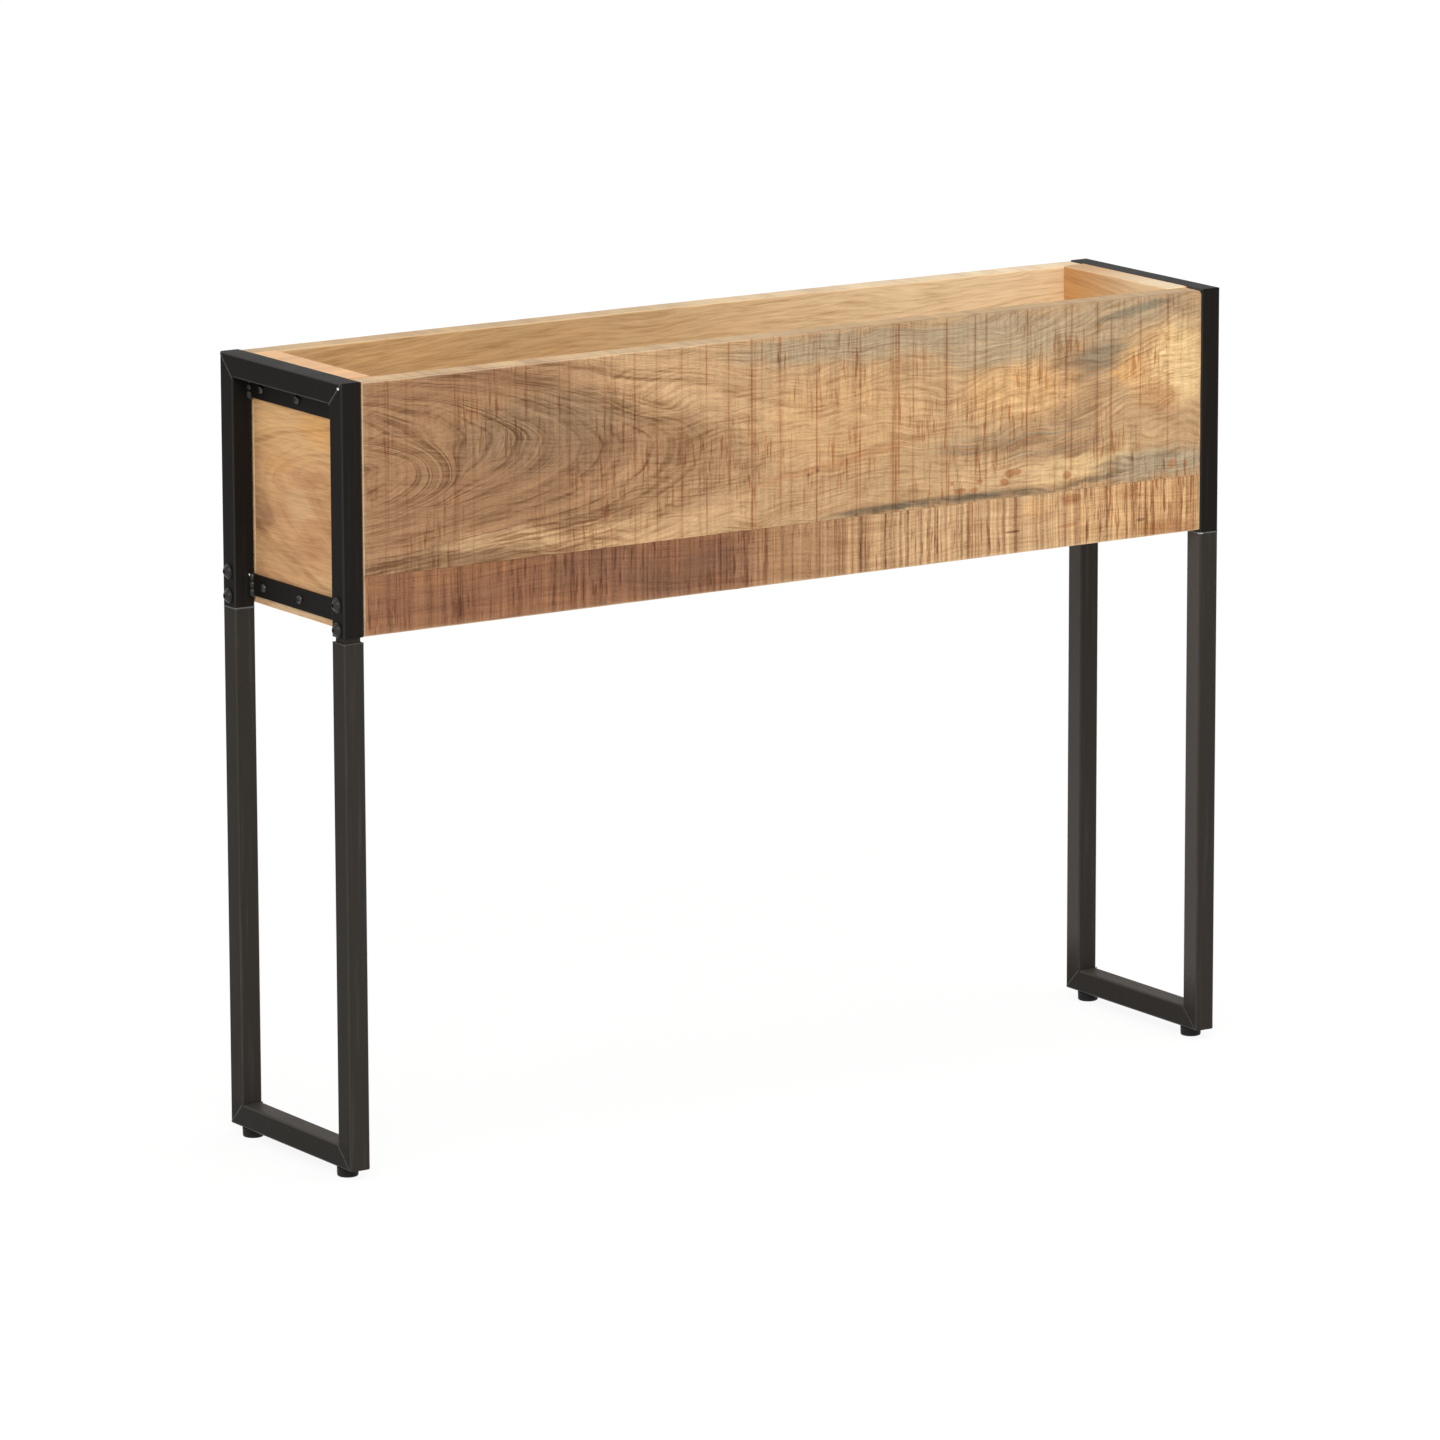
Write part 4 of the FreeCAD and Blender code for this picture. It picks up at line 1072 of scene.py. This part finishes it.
def mitre_runs():
    """Diagonals of the mitres, on both faces of each rail."""
    inset = 2 * MM
    runs = []
    for end in ENDS:
        for rail, up in (("top", 1), ("bottom", -1)):
            low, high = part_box(f"{end}_{rail}_rail")
            tube = high.z - low.z
            outer, inner = (high.z, low.z) if rail == "top" else (low.z, high.z)
            for x in (low.x, high.x):
                for y, back in ((low.y, 1), (high.y, -1)):
                    runs.append([(x, y + back * inset, outer - up * inset), (x, y + back * tube, inner)])
    return runs


def fillet_runs():
    """Upright runs at both ends of each flat bar."""
    lift = 2.5 * MM
    runs = []
    for end in ENDS:
        for bar in (f"{end}_upper_bar", f"{end}_lower_bar"):
            low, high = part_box(bar)
            x = outer_face(bar, end)
            runs += [[(x, y, low.z + lift), (x, y, high.z - lift)] for y in (low.y, high.y)]
    return runs


def bare_runs(lump):
    """Short runs of weld that the coat has left bare: one on each top rail, one on each lower bar."""
    from_side, from_top, from_bar_end, run_length = 4 * MM, 5 * MM, 2 * MM, 1.2 * MM
    runs = []
    for end, out in OUTWARD.items():
        rail, bar = f"{end}_top_rail", f"{end}_lower_bar"
        rail_high, bar_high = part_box(rail)[1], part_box(bar)[1]
        spots = [(outer_face(rail, end), out * (rail_high.y - from_side), rail_high.z - from_top),
                 (outer_face(bar, end) + out * lump, -out * (bar_high.y - from_bar_end), bar_high.z)]
        runs += [[(x, y, z), (x, y + run_length, z)] for x, y, z in spots]
    return runs


def rim_runs(inset):
    """The four edges of each leg's cut top."""
    runs = []
    for corner in CORNERS:
        low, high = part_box(f"{corner}_leg")
        left, right, front, back = low.x + inset, high.x - inset, low.y + inset, high.y - inset
        loop = [(x, y, high.z) for x, y in ((left, front), (right, front), (right, back), (left, back))]
        runs += [list(side) for side in zip(loop, loop[1:] + loop[:1])]
    return runs


class PLANTER_OT_long_walls(bpy.types.Operator):
    """Front and back wall, each of two edge-glued sawn boards"""

    bl_idname = "planter.long_walls"
    bl_label = "Long walls"

    def execute(self, context):
        look = context.scene.planter_timber
        edge, glue = look.ease, look.glue_line
        upper, lower = (edge, glue, edge), (edge, edge, glue)
        plank("front_upper_plank", "front_upper_board", FRONT_UPPER, look, upper, look.worn_corner, look.bow)
        plank("front_lower_plank", "front_lower_board", FRONT_LOWER, look, lower, glue)
        plank("back_upper_plank", "back_upper_board", BACK_UPPER, look, upper, edge, look.bow)
        plank("back_lower_plank", "back_lower_board", BACK_LOWER, look, lower, glue)
        return {"FINISHED"}


class PLANTER_OT_end_walls(bpy.types.Operator):
    """End panels between the long walls, and the bottom panel in its groove"""

    bl_idname = "planter.end_walls"
    bl_label = "End walls and bottom"

    def execute(self, context):
        look = context.scene.planter_timber
        edge, glue = look.ease, look.glue_line
        plank("left_end_plank", "left_end_panel", LEFT_END, look, (glue, edge, edge), edge)
        plank("right_end_plank", "right_end_panel", RIGHT_END, look, (glue, edge, edge), edge)
        dress(["bottom_panel"], board_finish("bottom_timber", FLOOR, look))
        dress(["corner_dowels", "edge_dowels"], dowel_finish("dowel_timber", look.pale))
        return {"FINISHED"}


class PLANTER_OT_frames(bpy.types.Operator):
    """Coat on the end frames, flat bars and leg frames"""

    bl_idname = "planter.frames"
    bl_label = "Steel frames"

    def execute(self, context):
        steel = context.scene.planter_steel
        frames = [f"{corner}_post" for corner in CORNERS]
        frames += [f"{end}_{part}" for end in ENDS for part in ("top_rail", "upper_bar", "lower_bar")]
        legs = [f"{corner}_leg" for corner in CORNERS] + [f"{end}_bottom_rail" for end in ENDS]
        # The painted glint sits at this corner of the right front leg's cut top.
        low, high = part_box("right_front_leg")
        rim = Vector((low.x, low.y, high.z))
        # top paints the top faces: 0.3 paints the frames' tops darker, 1.7 paints the legs' tops lighter.
        dress(frames, coat_finish("frame_coat", steel.frame_coat, steel.frame_sheen, rough=0.36, seed=1.0,
                                  edge_gloss=0.4, top=0.3))
        dress(legs, coat_finish("leg_coat", steel.leg_coat, steel.leg_sheen, rough=0.40, seed=7.0,
                                edge_gloss=0.3, top=1.7, rim=rim))
        dress([f"{corner}_spigot" for corner in CORNERS],
              coat_finish("spigot_coat", steel.leg_coat, steel.leg_sheen, rough=0.40, seed=5.0))
        dress(["leg_nuts", "foot_nuts"], plain_metal_finish("plain_steel", steel.bare))
        return {"FINISHED"}


class PLANTER_OT_welds(bpy.types.Operator):
    """Dressed mitre welds, fillet welds at the ends of the flat bars, bare spots and burrs on the legs"""

    bl_idname = "planter.welds"
    bl_label = "Welds"

    def execute(self, context):
        steel = context.scene.planter_steel
        rim, tack, bare = steel.leg_rim, steel.tack_width, steel.bare_spot
        coat = coat_finish("weld_coat", steel.frame_coat, sheen=0.35, rough=0.18, seed=3.0)
        bright = plain_metal_finish("bare_weld", BARE_WELD)
        # The burrs round the leg tops get a coat 3.2 times paler: partly worn steel, partly painted
        # highlight.
        worn = coat_finish("rim_coat", scaled(steel.leg_coat, 3.2), sheen=0.5, rough=0.2, seed=7.0)
        for name, runs, width, height, step, material, seed, slot in (
                ("mitre_welds", mitre_runs(), steel.weld_width, steel.weld_proud, steel.ripple, coat, 11,
                 "black_steel"),
                ("bare_welds", bare_runs(tack * 0.36), bare, bare * 0.5, steel.ripple, bright, 17,
                 "plain_steel"),
                ("leg_rims", rim_runs(rim * 0.8), rim, rim, rim * 0.5, worn, 31, "black_steel"),
                ("bar_welds", fillet_runs(), tack, tack * 0.8, steel.ripple * 8, coat, 23, "black_steel")):
            piece(name, beads(name, runs, width, height, step, material, seed), None, ROOT, slot)
        return {"FINISHED"}


class PLANTER_OT_bar_screws(bpy.types.Operator):
    """Wood screws through the flat bars, domed heads with a cross recess"""

    bl_idname = "planter.bar_screws"
    bl_label = "Bar screws"

    def execute(self, context):
        steel = context.scene.planter_steel
        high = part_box("bar_screws")[1]
        bar_low, bar_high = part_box("right_upper_bar")
        width = (high.z - (bar_low.z + bar_high.z) / 2) * 2
        pitch = high.y - width / 2
        reach = high.x - bar_high.x
        spots, aims = [], []
        for end, out in OUTWARD.items():
            for bar in (f"{end}_upper_bar", f"{end}_lower_bar"):
                bar_low, bar_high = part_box(bar)
                seat = (bar_low.z + bar_high.z) / 2
                spots += [(outer_face(bar, end), step * pitch, seat) for step in (-1, 0, 1)]
                aims += [(out, 0.0, 0.0)] * 3
        deep = steel.recess / reach
        cross = [block("slot", (*arms, deep * 2), (0, 0, 1)) for arms in CROSS_ARMS]
        head = recessed("screw_head", SCREW_DOME, cross)
        coat = coat_finish("screw_coat", steel.frame_coat, sheen=0.6, rough=0.16, seed=5.0)
        mesh = spread("bar_screw_heads", head, spots, aims, width, reach, coat, seed=4)
        piece("bar_screw_heads", mesh, None, ROOT, "black_fastener", "bar_screws", smooth_angle=HEAD_CREASE)
        return {"FINISHED"}


class PLANTER_OT_leg_bolts(bpy.types.Operator):
    """Button-head bolts and washers that hold the legs, on the outer faces of the posts"""

    bl_idname = "planter.leg_bolts"
    bl_label = "Leg bolts"

    def execute(self, context):
        steel = context.scene.planter_steel
        low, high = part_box("leg_bolts")
        washer_low, washer_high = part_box("leg_washers")
        post_low, post_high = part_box("right_front_post")
        row = (post_low.y + post_high.y) / 2
        width, collar = (row - low.y) * 2, (row - washer_low.y) * 2
        thick, rise = washer_high.x - post_high.x, high.x - washer_high.x
        heights = (low.z + width / 2, high.z - width / 2)
        places = [(out, y, z) for out in OUTWARD.values() for y in (row, -row) for z in heights]
        aims = [(out, 0.0, 0.0) for out, _, _ in places]
        coat = coat_finish("bolt_coat", steel.frame_coat, sheen=0.35, rough=0.26, seed=9.0)
        floor = 1 - steel.recess / rise
        hexagon = turned("socket", ((0, floor), (HEX_RADIUS, floor), (HEX_RADIUS, HEX_TOP), (0, HEX_TOP)), 6)
        washer = turned("washer", WASHER_RING, HEAD_SIDES, closed=True)
        head = recessed("bolt_head", BOLT_DOME, [hexagon])
        for name, mesh, seat, across, tall, seed, node in (
                ("leg_washer_rings", washer, post_high.x, collar, thick, 6, "leg_washers"),
                ("leg_bolt_heads", head, washer_high.x, width, rise, 8, "leg_bolts")):
            spots = [(out * seat, y, z) for out, y, z in places]
            mesh = spread(name, mesh, spots, aims, across, tall, coat, seed)
            piece(name, mesh, None, ROOT, "black_fastener", node, smooth_angle=HEAD_CREASE)
        return {"FINISHED"}


class PLANTER_OT_feet(bpy.types.Operator):
    """Levelling feet: moulded pads on threaded studs, one body for each"""

    bl_idname = "planter.feet"
    bl_label = "Levelling feet"

    def execute(self, context):
        steel = context.scene.planter_steel
        mould = foot_finish("foot_mould", steel.rubber)
        thread = plain_metal_finish("stud_steel", steel.bare)
        for corner in CORNERS:
            foot = f"{corner}_foot"
            low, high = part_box(f"{foot}_pad")
            middle = (low + high) / 2
            radius, height = (high.x - low.x) / 2, high.z - low.z
            profile = [(r * radius, h * height) for r, h in PAD_PROFILE]
            mesh = turned(f"{foot}_moulding", profile, FOOT_SIDES)
            mesh.transform(Matrix.Translation((middle.x, middle.y, low.z)))
            piece(f"{foot}_moulding", mesh, mould, foot, "foot_plastic", f"{foot}_pad",
                  smooth_angle=FOOT_CREASE)
            mesh = threaded(f"{foot}_thread", *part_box(f"{foot}_stud"), steel.pitch, thread)
            piece(f"{foot}_thread", mesh, None, foot, "plain_steel", f"{foot}_stud", smooth_angle=FOOT_CREASE)
        return {"FINISHED"}


class PLANTER_OT_stage(bpy.types.Operator):
    """Pale floor, white surroundings, soft lamps and the camera"""

    bl_idname = "planter.stage"
    bl_label = "Stage"

    def execute(self, context):
        stage = context.scene.planter_stage
        context.scene.view_settings.view_transform = "Standard"
        set_surroundings(context.scene, stage)
        set_floor(stage)
        for name, place, width in LAMPS:
            add_lamp(f"{name}_lamp", place, Vector(stage.aim), width, getattr(stage, name))
        set_camera(context.scene, stage)
        return {"FINISHED"}


def seen_directly(sheet):
    """1 for rays from the camera and for what glossy and clear surfaces show, else 0."""
    path = sheet.node("ShaderNodeLightPath").socket.node
    return sheet.largest(*(Wire(sheet, path.outputs[f"Is {kind} Ray"])
                           for kind in ("Camera", "Glossy", "Transmission")))


def set_surroundings(scene, stage):
    scene.world = bpy.data.worlds.new("white_surroundings")
    scene.world.use_nodes = True
    sheet = Sheet(scene.world.node_tree)
    seen = seen_directly(sheet)
    strength = seen + (1 - seen) * stage.ambient
    sky = sheet.node("ShaderNodeBackground", None, {"Color": (1, 1, 1, 1), "Strength": strength})
    sheet.end("ShaderNodeOutputWorld", sky)


def set_floor(stage):
    """A matt floor that keeps the shadow and turns to white away from the planter."""
    corners = [(x * FLOOR_HALF, y * FLOOR_HALF, 0) for x, y in ((-1, -1), (1, -1), (1, 1), (-1, 1))]
    mesh = new_mesh("floor", corners, faces=[(0, 1, 2, 3)])
    floor = loose("floor", mesh)
    material = bpy.data.materials.new("floor_white")
    material.use_nodes = True
    sheet = Sheet(material.node_tree)
    x, y, _ = sheet.place()
    paper = sheet.blend(sheet.noise(x * 3.0, y * 3.0) * 0.04, stage.floor, FLOOR_FLECK)
    matt = sheet.node("ShaderNodeBsdfDiffuse", None, {"Color": paper})
    white = sheet.node("ShaderNodeEmission", None, {"Color": (1, 1, 1, 1), "Strength": 1.02})
    away = sheet.math("SQRT", x * x + y * y)
    lifted = seen_directly(sheet) * sheet.smooth(away, 0.6, 2.2, 1.0, stage.clear)
    sheet.end("ShaderNodeOutputMaterial",
              sheet.node("ShaderNodeMixShader", None, {0: lifted, 1: matt, 2: white}))
    mesh.materials.append(material)


def add_lamp(name, place, aim, width, energy):
    lamp = bpy.data.lights.new(name, "AREA")
    lamp.shape = "DISK"
    lamp.size = width
    lamp.energy = energy
    thing = loose(name, lamp)
    thing.location = place
    thing.rotation_euler = (aim - Vector(place)).to_track_quat("-Z", "Y").to_euler()
    thing.visible_camera = False


def set_camera(scene, stage):
    data = bpy.data.cameras.new("camera")
    data.lens = stage.lens
    data.sensor_width = SENSOR_WIDTH
    data.clip_end = SIGHT_LIMIT
    side, lift = stage.azimuth, stage.elevation
    back = Vector((-math.sin(side) * math.cos(lift), -math.cos(side) * math.cos(lift), math.sin(lift)))
    right = (-back).cross(Vector((0, 0, 1))).normalized()
    axes = Matrix((right, right.cross(-back), back)).transposed().to_4x4()
    scene.camera = loose("camera", data)
    scene.camera.matrix_world = (Matrix.Translation(Vector(stage.aim) + back * stage.distance) @ axes
                                 @ Matrix.Rotation(stage.roll, 4, "Z"))


class PLANTER_PT_sidebar(bpy.types.Panel):
    """Sizes, colours and building steps of the planter"""

    bl_idname = "PLANTER_PT_sidebar"
    bl_label = "Planter"
    bl_space_type = "VIEW_3D"
    bl_region_type = "UI"
    bl_category = "Planter"

    def draw(self, context):
        for attribute in GROUPS:
            box = self.layout.box()
            group = getattr(context.scene, attribute)
            for name in group.__annotations__:
                box.prop(group, name)
        for step in STEPS:
            self.layout.operator(step.bl_idname)


GROUPS = {"planter_timber": PlanterTimber, "planter_steel": PlanterSteel, "planter_stage": PlanterStage}
STEPS = (PLANTER_OT_long_walls, PLANTER_OT_end_walls, PLANTER_OT_frames, PLANTER_OT_welds,
         PLANTER_OT_bar_screws, PLANTER_OT_leg_bolts, PLANTER_OT_feet, PLANTER_OT_stage)
CLASSES = (*GROUPS.values(), *STEPS, PLANTER_PT_sidebar)


def register():
    for kind in CLASSES:
        bpy.utils.register_class(kind)
    for name, group in GROUPS.items():
        setattr(bpy.types.Scene, name, PointerProperty(type=group))


def unregister():
    for name in GROUPS:
        delattr(bpy.types.Scene, name)
    for kind in reversed(CLASSES):
        bpy.utils.unregister_class(kind)


def main():
    register()
    bpy.ops.planter.long_walls()
    bpy.ops.planter.end_walls()
    bpy.ops.planter.frames()
    bpy.ops.planter.welds()
    bpy.ops.planter.bar_screws()
    bpy.ops.planter.leg_bolts()
    bpy.ops.planter.feet()
    bpy.ops.planter.stage()


if __name__ == "__main__":
    main()
